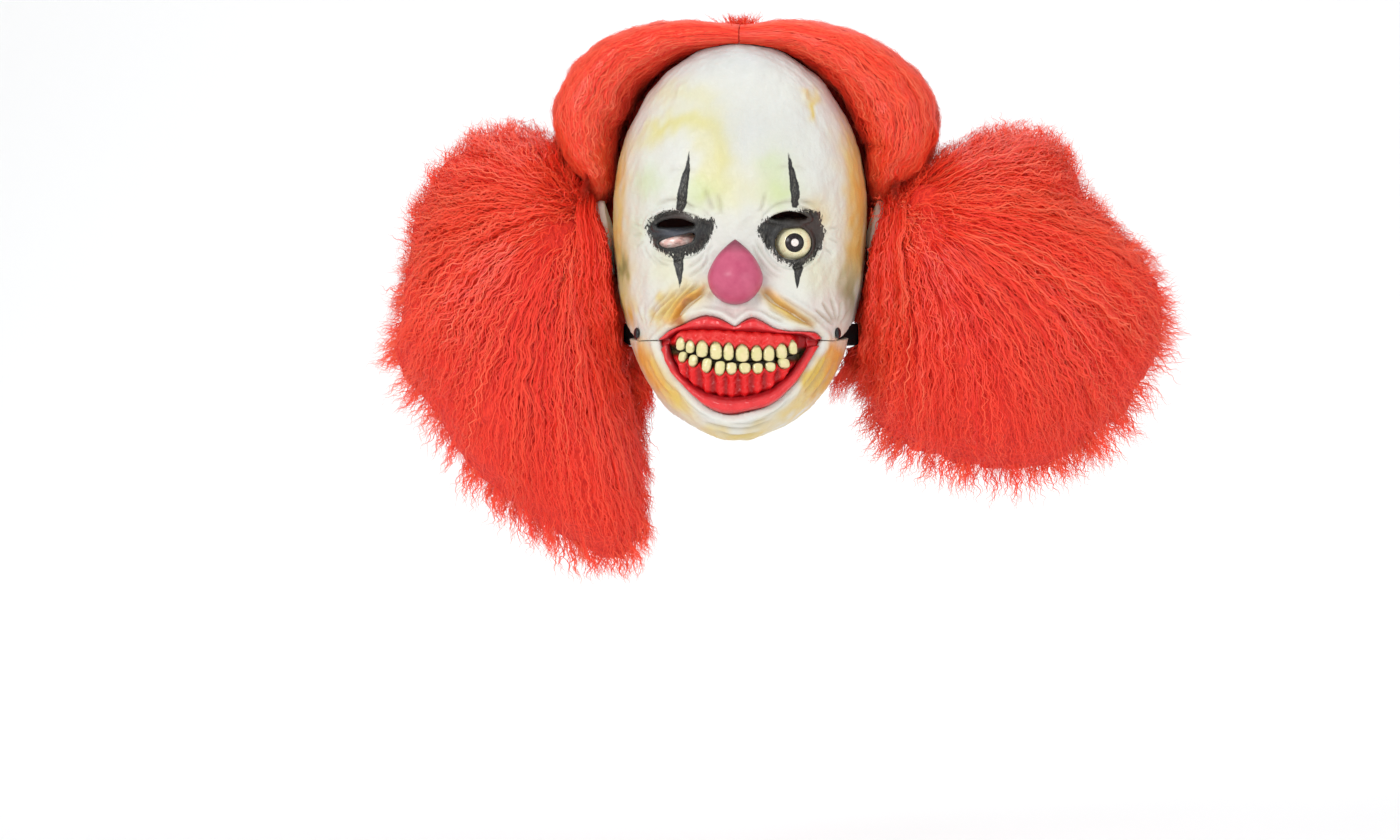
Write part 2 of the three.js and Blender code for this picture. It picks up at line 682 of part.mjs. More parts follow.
function backHair() {
  return roughHead(CAP_HAIR_DEPTH).subtract(headSolid(HAIR_GAP, 24, 10, 14))
    .intersect(sidePrism([[24, 160], [24, -20], [40, -50], [FAR, -50], [FAR, 160]]))
    .subtract(lobe(LOBE_LEFT, HAIR_GAP)).subtract(lobe(LOBE_RIGHT, HAIR_GAP))
    .subtract(puff(PUFF_LEFT, PUFF_CENTRE_LEFT, PUFF_MIDDLE_Y, PUFF_HALF_DEPTH + HAIR_GAP))
    .subtract(puff(PUFF_RIGHT, PUFF_CENTRE_RIGHT, PUFF_MIDDLE_Y, PUFF_HALF_DEPTH + HAIR_GAP))
    .subtract(hairTie(-1, TIE_GAP)).subtract(hairTie(1, TIE_GAP));
}

// ---------------------------------------------------------------- assembly

const mask = new THREE.Group();
mask.name = 'latex_clown_mask';

function add(name, solid, material) {
  const mesh = new THREE.Mesh(toGeometry(solid), material);
  mesh.name = name;
  mask.add(mesh);
}

add('face_shell', faceShell(), whiteLatex);
add('jaw_shell', jawShell(), whiteLatex);
add('nose', nose(0).subtract(headClear), noseLatex);
add('bulging_eyeball', bulgingEyeball(), eyePaint);
add('eyeball_iris', disc(IRIS_RADIUS, IRIS_THICKNESS, IRIS_SEAT + GAP), blackPaint);
const pupilSeat = IRIS_SEAT + 2 * GAP + IRIS_THICKNESS;
add('eyeball_pupil', disc(PUPIL_RADIUS, PUPIL_THICKNESS, pupilSeat), pinkEyePaint);
add('squint_eyeball', ellipsoid(SQUINT_RADII, squintCentre), pinkEyePaint);
add('upper_lip', upperLip(), redLatex);
add('lower_lip', lowerLip(), redLatex);
add('upper_gum', upperGum(), gumLatex);
add('lower_gum', lowerGum(), gumLatex);
toothRow(UPPER_ROW).forEach((solid, i) => add(`upper_tooth_${i + 1}`, solid, toothPaint));
toothRow(LOWER_ROW).forEach((solid, i) => add(`lower_tooth_${i + 1}`, solid, toothPaint));
add('ear_left', ear(-1, 0), whiteLatex);
add('ear_right', ear(1, 0), whiteLatex);
add('wig_cap', wigCap(), capFabric);
add('top_hair_left', topHair(LOBE_LEFT, -1), redHair);
add('top_hair_right', topHair(LOBE_RIGHT, 1), redHair);
add('parting_tuft', partingTuft(), redHair);
add('side_puff_left', sidePuff(PUFF_LEFT, PUFF_CENTRE_LEFT, LOBE_LEFT, -1), redHair);
add('side_puff_right', sidePuff(PUFF_RIGHT, PUFF_CENTRE_RIGHT, LOBE_RIGHT, 1), redHair);
add('back_hair', backHair(), redHair);
add('hair_tie_left', hairTie(-1, 0), blackElastic);
add('hair_tie_right', hairTie(1, 0), blackElastic);
add('nape_strap', napeStrap(), blackElastic);
add('stud_left', stud(-1), studMetal);
add('stud_right', stud(1), studMetal);
add('forehead_pad', foreheadPad(), foam);
add('chin_pad', chinPad(), foam);

export default mask;
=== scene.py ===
import math

import bpy
import numpy as np
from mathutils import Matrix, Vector


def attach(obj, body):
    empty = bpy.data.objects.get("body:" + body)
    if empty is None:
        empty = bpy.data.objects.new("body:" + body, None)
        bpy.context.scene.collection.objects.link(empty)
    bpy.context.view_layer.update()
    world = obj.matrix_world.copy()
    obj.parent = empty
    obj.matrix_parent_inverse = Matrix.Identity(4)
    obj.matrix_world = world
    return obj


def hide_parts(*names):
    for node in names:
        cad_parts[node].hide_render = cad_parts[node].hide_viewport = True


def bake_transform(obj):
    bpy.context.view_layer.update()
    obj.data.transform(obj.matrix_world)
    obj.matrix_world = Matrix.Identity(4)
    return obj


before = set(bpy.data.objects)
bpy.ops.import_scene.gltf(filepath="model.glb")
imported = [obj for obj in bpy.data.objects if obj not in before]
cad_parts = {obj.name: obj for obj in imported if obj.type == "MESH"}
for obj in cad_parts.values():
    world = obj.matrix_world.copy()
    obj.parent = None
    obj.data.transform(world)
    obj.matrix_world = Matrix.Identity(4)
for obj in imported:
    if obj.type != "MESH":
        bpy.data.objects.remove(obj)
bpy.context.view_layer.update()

# Shapes are worked out in millimetres, in the frame's axes, and scaled once when a mesh is made.
MM = 0.001

# ------------------------------------------------------------------ camera, light and floor

VIEW_AZIMUTH = math.radians(2.5)
VIEW_WIDTH = 0.98
VIEW_AIM = Vector((-0.0265, -0.05, -0.1295))
CAMERA_DISTANCE = 3.5
FLOOR_Z = -0.46
FLOOR_BEND_Y = 4.2
FLOOR_BEND = 3.0
FLOOR_REACH = 16
BACKDROP_HEIGHT = 8


def put(name, data):
    """Adds an object to the scene."""
    item = bpy.data.objects.new(name, data)
    bpy.context.scene.collection.objects.link(item)
    return item


def add_camera():
    """A camera that sees the mask from the photograph's side."""
    data = bpy.data.cameras.new("camera")
    camera = put("camera", data)
    back = Vector((math.sin(VIEW_AZIMUTH), -math.cos(VIEW_AZIMUTH), 0))
    camera.location = VIEW_AIM + back * CAMERA_DISTANCE
    camera.rotation_euler = (-back).to_track_quat("-Z", "Y").to_euler()
    data.sensor_width = 36
    data.lens = data.sensor_width * CAMERA_DISTANCE / VIEW_WIDTH
    data.clip_end = 50
    bpy.context.scene.camera = camera


def add_light(name, place, aim, size, power):
    """A round soft light that points at its aim."""
    data = bpy.data.lights.new(name, "AREA")
    data.shape = "DISK"
    data.size = size
    data.energy = power
    light = put(name, data)
    light.location = place
    light.rotation_euler = (Vector(aim) - Vector(place)).to_track_quat("-Z", "Y").to_euler()


def add_studio():
    """Key, fill and top light, a lit backdrop and a pale surround."""
    add_light("key_light", (-1.3, -2.3, 0.85), (0, 0, -0.02), 1.0, 24)
    add_light("fill_light", (1.9, -1.9, 0.3), (0, 0, -0.03), 1.6, 10.5)
    add_light("top_light", (0.1, 0.3, 2.2), (0, 0, 0), 1.8, 10)
    add_light("backdrop_light", (0, 2.7, 2.9), (0, 4.9, -0.3), 3.0, 88)
    world = bpy.data.worlds.new("studio")
    world.use_nodes = True
    background = world.node_tree.nodes["Background"].inputs
    background["Color"].default_value = (0.98, 0.99, 1.0, 1)
    background["Strength"].default_value = 0.72
    bpy.context.scene.world = world
    bpy.context.scene.view_settings.view_transform = "Standard"


def add_floor():
    """A pale floor that curves up into a backdrop behind the object."""
    bend = np.linspace(0, math.pi / 2, 33)
    rear = FLOOR_BEND_Y + FLOOR_BEND
    depth = np.concatenate([[-FLOOR_REACH], FLOOR_BEND_Y + FLOOR_BEND * np.sin(bend), [rear]])
    height = np.concatenate([[0], FLOOR_BEND * (1 - np.cos(bend)), [BACKDROP_HEIGHT]])
    points = []
    faces = []
    for i, (y, z) in enumerate(zip(depth, height)):
        points += [(-FLOOR_REACH, y, FLOOR_Z + z), (FLOOR_REACH, y, FLOOR_Z + z)]
        if i:
            faces.append((2 * i - 2, 2 * i - 1, 2 * i + 1, 2 * i))
    mesh = bpy.data.meshes.new("floor")
    mesh.from_pydata(points, [], faces)
    mesh.polygons.foreach_set("use_smooth", [True] * len(faces))
    paper = Nodes("floor_paper", 0.95)
    paper.set("Base Color", (0.90, 0.90, 0.90))
    mesh.materials.append(paper.material)
    put("floor", mesh)


# ------------------------------------------------------------------ materials


def feed(tree, socket, value):
    """Links an output to a socket, or gives the socket a plain value."""
    if isinstance(value, bpy.types.NodeSocket):
        tree.links.new(value, socket)
    elif socket.type == "RGBA":
        socket.default_value = (*value, 1)
    else:
        socket.default_value = value


class Nodes:
    """Short calls for a material's node tree."""

    def __init__(self, name, roughness):
        self.material = bpy.data.materials.new(name)
        self.material.use_nodes = True
        self.tree = self.material.node_tree
        self.shader = self.tree.nodes["Principled BSDF"]
        self.set("Roughness", roughness)

    def set(self, socket, value):
        """Sets one of the shader's own sockets, or links an output to it."""
        feed(self.tree, self.shader.inputs[socket], value)

    def add(self, kind, inputs, **settings):
        node = self.tree.nodes.new(kind)
        for key, value in settings.items():
            setattr(node, key, value)
        for key, value in inputs.items():
            feed(self.tree, node.inputs[key], value)
        return node

    def attribute(self, name, output="Fac"):
        return self.add("ShaderNodeAttribute", {}, attribute_name=name).outputs[output]

    def place(self, stretch=(1, 1, 1)):
        """Object coordinates in millimetres, stretched."""
        coordinates = self.add("ShaderNodeTexCoord", {}).outputs["Object"]
        scale = [s / MM for s in stretch]
        return self.add("ShaderNodeMapping", {"Vector": coordinates, "Scale": scale}).outputs["Vector"]

    def noise(self, size, detail=3.0, stretch=(1, 1, 1), roughness=0.55):
        """Noise from 0 to 1 with features of a size in millimetres."""
        inputs = {"Vector": self.place(stretch), "Scale": 1 / size, "Detail": detail, "Roughness": roughness}
        return self.add("ShaderNodeTexNoise", inputs).outputs["Fac"]

    def math(self, operation, a, b=0.0, clamp=False):
        return self.add("ShaderNodeMath", {0: a, 1: b}, operation=operation, use_clamp=clamp).outputs[0]

    def ramp(self, value, low, high, to_low=0.0, to_high=1.0):
        inputs = {"Value": value, "From Min": low, "From Max": high, "To Min": to_low, "To Max": to_high}
        return self.add("ShaderNodeMapRange", inputs, clamp=True).outputs["Result"]

    def mix(self, share, a, b):
        """One colour where the share is 0 and the other where it is 1."""
        return self.add("ShaderNodeMix", {0: share, 6: a, 7: b}, data_type="RGBA").outputs[2]

    def mottle(self, value, low, high, a, b):
        """One colour up to a low value and the other from a high value on."""
        return self.mix(self.ramp(value, low, high), a, b)

    def bump(self, height, depth):
        """Bump of a depth in millimetres on the shader's normal."""
        node = self.add("ShaderNodeBump", {"Height": height, "Distance": depth * MM, "Strength": 1.0})
        self.set("Normal", node.outputs["Normal"])


LOOKS = {}


def look(roughness):
    """Makes a material that has the name of the function that paints it."""
    def make(paint):
        nodes = Nodes(paint.__name__, roughness)
        paint(nodes)
        LOOKS[paint.__name__] = nodes.material
        return paint
    return make


@look(0.5)
def painted_latex(nodes):
    """White paint with soft washes on latex, and black brushwork whose edge is ragged."""
    wash = nodes.attribute("wash", "Color")
    cloud = nodes.noise(14, 4)
    grain = nodes.noise(1.6, 3)
    color = nodes.mix(nodes.ramp(cloud, 0.35, 0.75, 0.0, 0.10), wash, (0.62, 0.60, 0.42))
    color = nodes.mix(nodes.ramp(grain, 0.3, 0.8, 0.0, 0.05), color, (0.35, 0.33, 0.27))
    brush = nodes.noise(2.2, 4, (1.6, 1.0, 0.55), 0.65)
    fringe = nodes.math("MULTIPLY", nodes.math("SUBTRACT", brush, 0.5), nodes.attribute("ragged"))
    black = nodes.ramp(nodes.math("ADD", nodes.attribute("black"), fringe), -0.25, 0.3)
    streak = nodes.noise(1.5, 5, (1.8, 1.0, 0.6), 0.7)
    dry = nodes.math("MULTIPLY", nodes.ramp(streak, 0.46, 0.68), nodes.attribute("dry"), clamp=True)
    ink = nodes.mix(dry, nodes.attribute("ink", "Color"), (0.17, 0.16, 0.13))
    nodes.set("Base Color", nodes.mix(black, color, ink))
    dull = nodes.math("ADD", cloud, nodes.math("MULTIPLY", black, -0.12))
    nodes.set("Roughness", nodes.ramp(dull, 0.2, 0.8, 0.34, 0.52))
    nodes.set("Subsurface Weight", 0.06)
    nodes.set("Subsurface Radius", (0.006, 0.004, 0.003))
    nodes.set("Subsurface Scale", 0.6)
    fine = nodes.math("ADD", nodes.noise(3.4, 5, (1, 1, 1), 0.6), nodes.math("MULTIPLY", grain, 0.35))
    nodes.bump(nodes.math("ADD", fine, nodes.math("MULTIPLY", black, 0.25)), 0.42)


@look(0.62)
def bare_latex(nodes):
    """The unpainted inside of the latex, yellowish and dull."""
    cloud = nodes.noise(22, 4)
    color = nodes.mottle(cloud, 0.3, 0.7, (0.56, 0.45, 0.27), (0.68, 0.58, 0.39))
    nodes.set("Base Color", color)
    nodes.bump(nodes.noise(4, 5), 0.6)


@look(0.30)
def lip_paint(nodes):
    """Crimson gloss paint, with painted shade in its creases and small paler flecks of painted highlight."""
    color = nodes.mottle(nodes.noise(9, 4), 0.3, 0.7, (0.74, 0.013, 0.019), (0.88, 0.034, 0.038))
    # Paler salmon flecks by noise: painted highlights.
    color = nodes.mix(nodes.ramp(nodes.noise(1.4, 3), 0.62, 0.8, 0, 0.35), color, (0.95, 0.20, 0.17))
    nodes.set("Base Color", nodes.mix(nodes.attribute("crevice"), color, (0.34, 0.006, 0.010)))
    nodes.set("Coat Weight", 0.25)
    nodes.bump(nodes.noise(2.6, 4, (1.0, 1.0, 0.45)), 0.40)


@look(0.32)
def gum_paint(nodes):
    """Salmon red gums, deeper red in the grooves as painted shade, and nearly black between and behind the
    teeth as painted shade.
    """
    nodes.set("Specular IOR Level", 0.3)
    color = nodes.mottle(nodes.noise(6, 4), 0.3, 0.7, (0.76, 0.032, 0.032), (0.86, 0.075, 0.062))
    crevice = nodes.attribute("crevice")
    # Deeper red and then darker still in the grooves and hollows: painted shade; the lower gum also starts
    # from a deeper red.
    color = nodes.mottle(crevice, 0.0, 0.6, color, (0.76, 0.004, 0.006))
    color = nodes.mottle(crevice, 0.6, 1.0, color, (0.36, 0.003, 0.005))
    shade = nodes.mottle(nodes.noise(3, 3), 0.4, 0.6, (0.014, 0.010, 0.004), (0.055, 0.040, 0.012))
    # Nearly black between and behind the teeth: painted shade.
    nodes.set("Base Color", nodes.mix(nodes.attribute("between"), color, shade))
    nodes.set("Coat Weight", 0.12)
    nodes.bump(nodes.noise(2.2, 4), 0.35)


@look(0.22)
def tooth_paint(nodes):
    """Cream enamel with a green tinge and brown stain round the edges."""
    color = nodes.mottle(nodes.noise(5, 3), 0.35, 0.65, (0.82, 0.69, 0.37), (0.72, 0.67, 0.30))
    uneven = nodes.ramp(nodes.noise(1.8, 3), 0.3, 0.7, -0.25, 0.25)
    edge = nodes.ramp(nodes.math("ADD", nodes.attribute("stain"), uneven), 0.25, 1.0, 0.0, 0.92)
    nodes.set("Base Color", nodes.mix(edge, color, (0.12, 0.085, 0.022)))
    nodes.set("Coat Weight", 0.35)
    nodes.bump(nodes.noise(2.4, 3, (1.0, 1.0, 0.35)), 0.16)


@look(0.5)
def nose_paint(nodes):
    """Cloudy magenta, darker where the shade value is high."""
    cloud = nodes.noise(8, 4)
    color = nodes.mottle(cloud, 0.3, 0.7, (0.51, 0.068, 0.150), (0.61, 0.108, 0.200))
    shade = nodes.ramp(nodes.attribute("shade"), 0.1, 1.0, 0.0, 0.85)
    nodes.set("Base Color", nodes.mix(shade, color, (0.17, 0.012, 0.045)))
    nodes.set("Roughness", nodes.ramp(cloud, 0.2, 0.8, 0.30, 0.44))
    nodes.bump(nodes.noise(1.8, 4), 0.14)


@look(0.10)
def eye_paint(nodes):
    """Creamy yellow gloss with faint pink veins."""
    color = nodes.mottle(nodes.noise(7, 3), 0.3, 0.7, (0.92, 0.88, 0.62), (0.86, 0.79, 0.45))
    wander = nodes.math("ABSOLUTE", nodes.math("SUBTRACT", nodes.noise(5, 5), 0.5))
    vein = nodes.ramp(wander, 0.0, 0.02, 0.4, 0.0)
    nodes.set("Base Color", nodes.mix(vein, color, (0.62, 0.22, 0.14)))
    nodes.set("Coat Weight", 0.6)
    nodes.bump(nodes.noise(3, 2), 0.05)


@look(0.22)
def iris_paint(nodes):
    """Near black, flecked inside its outer ring."""
    fleck = nodes.ramp(nodes.noise(0.9, 3), 0.46, 0.74)
    inner = nodes.mix(fleck, (0.012, 0.009, 0.010), (0.070, 0.048, 0.052))
    nodes.set("Base Color", nodes.mix(nodes.attribute("outer"), inner, (0.012, 0.010, 0.008)))
    nodes.set("Specular IOR Level", 0.3)


@look(0.12)
def pupil_paint(nodes):
    """Glossy cream and pink."""
    color = nodes.mottle(nodes.noise(1.4, 2), 0.3, 0.7, (0.90, 0.86, 0.82), (0.86, 0.74, 0.68))
    nodes.set("Base Color", color)
    nodes.set("Coat Weight", 0.6)


@look(0.16)
def squint_paint(nodes):
    """Pinkish white gloss with dark and red brush streaks."""
    color = nodes.mottle(nodes.noise(4, 3), 0.35, 0.65, (0.86, 0.70, 0.64), (0.78, 0.42, 0.36))
    streak = nodes.ramp(nodes.noise(2.0, 4, (0.35, 1.0, 1.8)), 0.54, 0.68)
    nodes.set("Base Color", nodes.mix(streak, color, (0.25, 0.11, 0.09)))
    nodes.set("Coat Weight", 0.6)
    nodes.bump(nodes.noise(2.0, 3), 0.10)


def weave(nodes, dark, light, size, depth):
    """A plain weave: two sets of threads at right angles."""
    threads = []
    for stretch, direction in (((1, 1, 0.15), "X"), ((0.15, 0.15, 1), "Z")):
        inputs = {"Vector": nodes.place(stretch), "Scale": 1 / size, "Distortion": 0.6}
        bands = nodes.add("ShaderNodeTexWave", inputs, bands_direction=direction)
        threads.append(bands.outputs["Fac"])
    woven = nodes.math("MAXIMUM", *threads)
    nodes.set("Base Color", nodes.mix(woven, dark, light))
    nodes.bump(woven, depth)


@look(0.8)
def cap_knit(nodes):
    weave(nodes, (0.012, 0.003, 0.003), (0.070, 0.010, 0.008), 2.2, 0.8)


@look(0.8)
def elastic_weave(nodes):
    weave(nodes, (0.006, 0.006, 0.007), (0.030, 0.029, 0.032), 1.3, 0.4)


@look(0.5)
def stud_lacquer(nodes):
    """Black lacquer with worn spots."""
    wear = nodes.noise(1.5, 4)
    nodes.set("Base Color", nodes.mottle(wear, 0.62, 0.72, (0.010, 0.010, 0.011), (0.16, 0.15, 0.14)))
    nodes.set("Roughness", nodes.ramp(wear, 0.3, 0.7, 0.22, 0.42))


@look(0.92)
def pad_foam(nodes):
    """Charcoal foam with open pores."""
    pores = nodes.noise(0.9, 2)
    nodes.set("Base Color", nodes.mottle(pores, 0.42, 0.6, (0.016, 0.016, 0.018), (0.075, 0.075, 0.080)))
    nodes.bump(pores, 0.5)


@look(0.8)
def hair_mass(nodes):
    """The inside of a mass of hair: dark red with streaks."""
    streak = nodes.noise(2.2, 4, (1.0, 1.0, 0.3), 0.7)
    nodes.set("Base Color", nodes.mottle(streak, 0.38, 0.64, (0.66, 0.012, 0.006), (0.98, 0.050, 0.020)))
    nodes.bump(streak, 1.4)


# The five reds of the strands, one material each, from darkest to lightest: lit and shaded copies of one
# red, which paint light and shade into the hair.
HAIR_REDS_SHADED_TO_LIT = [
    (0.84, 0.016, 0.006), (0.96, 0.034, 0.012), (1.00, 0.058, 0.020), (1.00, 0.090, 0.032),
    (1.00, 0.145, 0.062),
]


def strand_red(name, color):
    """One red of the fibre, lit or shaded as painted light. Its values are plain, so that a file with many
    strands stays light.
    """
    nodes = Nodes(name, 0.42)
    nodes.set("Base Color", color)
    nodes.set("Sheen Weight", 0.65)
    nodes.set("Sheen Roughness", 0.4)
    nodes.set("Sheen Tint", (1.0, 0.26, 0.16))
    return nodes.material


STRAND_LOOKS = [f"hair_strand_{number}" for number in range(1, len(HAIR_REDS_SHADED_TO_LIT) + 1)]
for strand_look, red in zip(STRAND_LOOKS, HAIR_REDS_SHADED_TO_LIT):
    LOOKS[strand_look] = strand_red(strand_look, red)


# ------------------------------------------------------------------ meshes


def make_piece(name, points, faces, looks, body, replaced=(), face_materials=None):
    """A smooth mesh piece from points in millimetres. A triangle has -1 as its fourth corner."""
    faces = np.asarray(faces, np.int64)
    corners = faces[faces >= 0]
    sizes = (faces >= 0).sum(1)
    mesh = bpy.data.meshes.new(name)
    mesh.vertices.add(len(points))
    mesh.vertices.foreach_set("co", (np.asarray(points, float) * MM).astype(np.float32).ravel())
    mesh.loops.add(len(corners))
    mesh.loops.foreach_set("vertex_index", corners.astype(np.int32))
    mesh.polygons.add(len(faces))
    mesh.polygons.foreach_set("loop_start", (np.cumsum(sizes) - sizes).astype(np.int32))
    mesh.polygons.foreach_set("use_smooth", np.ones(len(faces), bool))
    if face_materials is not None:
        mesh.polygons.foreach_set("material_index", np.asarray(face_materials, np.int32))
    mesh.update(calc_edges=True)
    for name_of_look in looks:
        mesh.materials.append(LOOKS[name_of_look])
    piece = put(name, mesh)
    if body is not None:
        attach(piece, body)
    if replaced:
        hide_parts(*replaced)
    return piece


def give_values(piece, **values):
    """Stores one number, or one colour, for each vertex under each name."""
    for name, value in values.items():
        value = np.asarray(value, np.float32)
        if value.ndim == 1:
            piece.data.attributes.new(name, "FLOAT", "POINT").data.foreach_set("value", value)
        else:
            rgba = np.ones((len(value), 4), np.float32)
            rgba[:, :3] = value
            piece.data.attributes.new(name, "FLOAT_COLOR", "POINT").data.foreach_set("color", rgba.ravel())


def circle(count):
    """Evenly spaced angles round a circle."""
    return np.linspace(0, 2 * math.pi, count, endpoint=False)


def grid_faces(rows, columns, wrap=False):
    """Faces of a grid of points stored row by row; wrap joins the last column to the first."""
    row = np.arange(rows - 1)[:, None]
    column = np.arange(columns if wrap else columns - 1)[None, :]
    after = (column + 1) % columns
    here, next_row = row * columns, (row + 1) * columns
    corners = [here + column, here + after, next_row + after, next_row + column]
    return np.stack([np.broadcast_to(c, (rows - 1, column.size)) for c in corners], -1).reshape(-1, 4)


def flipped(faces):
    """The same faces seen from the other side."""
    return np.where(faces[:, 3:4] < 0, faces[:, [2, 1, 0, 3]], faces[:, ::-1])


def facing_out(points, faces):
    """The faces of a closed body, flipped if they look inwards."""
    a, b, c, d = (points[faces[:, k]] for k in range(4))
    second = np.where(faces[:, 3:4] < 0, 0, np.cross(c, d))
    volume = (a * (np.cross(b, c) + second)).sum()
    return flipped(faces) if volume < 0 else faces


def close_shell(outer, inner, faces):
    """One closed body from an outer sheet, the same sheet moved inwards, and a rim along its open edges."""
    count = len(outer)
    edges = []
    for a, b in ((0, 1), (1, 2), (2, 3), (3, 0)):
        start = faces[:, a]
        end = np.where(faces[:, b] < 0, faces[:, 0], faces[:, b])
        real = (start >= 0) & (start != end)
        edges.append(np.stack([start[real], end[real]], 1))
    edges = np.concatenate(edges)
    code = edges[:, 0] * count + edges[:, 1]
    mirror = edges[:, 1] * count + edges[:, 0]
    rim = edges[~np.isin(code, mirror)]
    sides = np.stack([rim[:, 1], rim[:, 0], rim[:, 0] + count, rim[:, 1] + count], 1)
    back = flipped(faces)
    back = np.where(back < 0, back, back + count)
    points = np.concatenate([outer, inner])
    kind = np.repeat([0, 1, 2], [len(faces), len(back), len(sides)])
    all_faces = facing_out(points, np.concatenate([faces, back, sides]))
    used = np.unique(all_faces[all_faces >= 0])
    order = np.full(len(points), -1)
    order[used] = np.arange(len(used))
    return points[used], np.where(all_faces < 0, -1, order[all_faces]), kind, used


def closed_rings(rings, start, end):
    """A closed body through rings of points, from a start point to an end point."""
    rows, sides = rings.shape[:2]
    count = rows * sides
    column = np.arange(sides)
    after = (column + 1) % sides
    none = np.full(sides, -1)
    low = np.stack([np.full(sides, count), after, column, none], 1)
    high = np.stack([np.full(sides, count + 1), count - sides + column, count - sides + after, none], 1)
    points = np.concatenate([rings.reshape(-1, 3), [start, end]])
    faces = np.concatenate([grid_faces(rows, sides, wrap=True), low, high])
    return points, facing_out(points, faces)


def between(p0, p1, p2, p3, t):
    """A smooth curve from p1 to p2, by the points before and after."""
    return p1 + 0.5 * t * (p2 - p0 + t * (2 * p0 - 5 * p1 + 4 * p2 - p3 + t * (3 * (p1 - p2) + p3 - p0)))


def smooth_line(points, per_step=6, closed=False):
    """A smooth line through given points."""
    points = np.asarray(points, float)
    if closed:
        points = np.concatenate([points[-1:], points, points[:2]])
    else:
        points = np.concatenate([2 * points[:1] - points[1:2], points, 2 * points[-1:] - points[-2:-1]])
    t = np.linspace(0, 1, per_step, endpoint=False)[:, None, None]
    line = between(points[:-3], points[1:-2], points[2:-1], points[3:], t)
    line = line.transpose(1, 0, 2).reshape(-1, points.shape[1])
    return line if closed else np.concatenate([line, points[-2:-1]])


def resample(line, count):
    """The same line with evenly spaced points."""
    line = np.asarray(line, float)
    length = np.concatenate([[0], np.cumsum(np.linalg.norm(np.diff(line, axis=0), axis=1))])
    at = np.linspace(0, length[-1], count)
    return np.stack([np.interp(at, length, line[:, i]) for i in range(line.shape[1])], 1)


def line_distance(x, z, line):
    """Distance from each place to a line seen from the front, and how far along the nearest point is."""
    nearest = np.full(np.shape(x), 1e9)
    along = np.zeros(np.shape(x))
    line = np.asarray(line, float)
    steps = np.linalg.norm(np.diff(line, axis=0), axis=1)
    total = max(steps.sum(), 1e-9)
    run = 0.0
    for (x0, z0), (x1, z1), step in zip(line[:-1], line[1:], steps):
        part = np.clip(((x - x0) * (x1 - x0) + (z - z0) * (z1 - z0)) / max(step * step, 1e-12), 0, 1)
        away = np.hypot(x - x0 - part * (x1 - x0), z - z0 - part * (z1 - z0))
        closer = away < nearest
        nearest = np.where(closer, away, nearest)
        along = np.where(closer, (run + part * step) / total, along)
        run += step
    return nearest, along


def outline_distance(x, z, outline):
    """Signed distance to a closed outline seen from the front, negative inside."""
    ring = np.concatenate([outline, outline[:1]])
    away, _ = line_distance(x, z, ring)
    inside = np.zeros(np.shape(x), bool)
    for (x0, z0), (x1, z1) in zip(ring[:-1], ring[1:]):
        if z0 != z1:
            crosses = ((z0 > z) != (z1 > z)) & (x < (x1 - x0) * (z - z0) / (z1 - z0) + x0)
            inside ^= crosses
    return np.where(inside, -away, away)


def waves(points, size, seed, count=14):
    """Smooth bumps from about -1 to 1, the same on every run."""
    random = np.random.default_rng(seed)
    ways = random.normal(size=(count, points.shape[-1]))
    ways /= np.linalg.norm(ways, axis=1, keepdims=True)
    pace = 2 * math.pi / size * random.uniform(0.6, 1.6, count)
    start = random.uniform(0, 2 * math.pi, count)
    return np.sin((points @ ways.T) * pace + start).sum(-1) / math.sqrt(count)


# ------------------------------------------------------------------ head surface, as in the CAD

LATEX = 3.0
GAP = 0.4
BROW_Z = 20
CROWN_RISE = 118
HEAD_HALF_WIDTH = 89.5
HEAD_FRONT = -103
HEAD_REAR = 100
FACE_FLATNESS = 0.87
LOWER_SECTIONS = np.array([
    [20, 89.5, -103, 0, 100],
    [-10, 89, -98, 0, 98],
    [-38, 86, -99, -2, 94],
    [-62, 80, -106, -6, 84],
    [-82, 74, -109, -14, 62],
    [-100, 66, -109, -25, 34],
    [-115, 55, -107, -38, 6],
    [-127, 42, -103, -50, -16],
    [-136, 27, -97, -61, -38],
    [-142.5, 8, -81, -70, -60],
])
CHIN_POLE = (0, -71, -143)
CAP_FRONT_Y = 14
CAP_HEM_Z = -58
PIVOT = np.array([69, -62, -69])
PIVOT_TURN = math.radians(23)
JAW_SPLIT_Z = -74
NOTCH_TOP_SLOPE = math.tan(math.radians(17))
NOTCH_LOW_SLOPE = math.tan(math.radians(3))
JAW_REAR_Y = -12


def head_section(level):
    """Height, half width, foremost, widest and rearmost place of a section; -1 is the chin, 1 the crown."""
    first, second = LOWER_SECTIONS[:2]
    before = np.concatenate([[2 * first[0] - second[0]], second[1:]])
    after = 2 * LOWER_SECTIONS[-1] - LOWER_SECTIONS[-2]
    rows = np.concatenate([[before], LOWER_SECTIONS, [after]])
    place = np.clip(-level, 0, 1) * (len(LOWER_SECTIONS) - 1)
    step = np.minimum(np.floor(place).astype(int), len(LOWER_SECTIONS) - 2)
    t = (place - step)[..., None]
    lower = between(*(rows[step + k] for k in range(4)), t)
    rise = np.clip(level, 0, 1) * math.pi / 2
    ring = np.maximum(np.cos(rise), 1e-9)
    z, front = BROW_Z + CROWN_RISE * np.sin(rise), HEAD_FRONT * ring**0.9
    upper = np.stack([z, HEAD_HALF_WIDTH * ring, front, 0 * ring, HEAD_REAR * ring], -1)
    return np.moveaxis(np.where((level < 0)[..., None], lower, upper), -1, 0)


def hump(x, z, place, size):
    """A soft round bump, 1 at its place."""
    return np.exp(-(((x - place[0]) / size[0]) ** 2) - ((z - place[1]) / size[1]) ** 2)


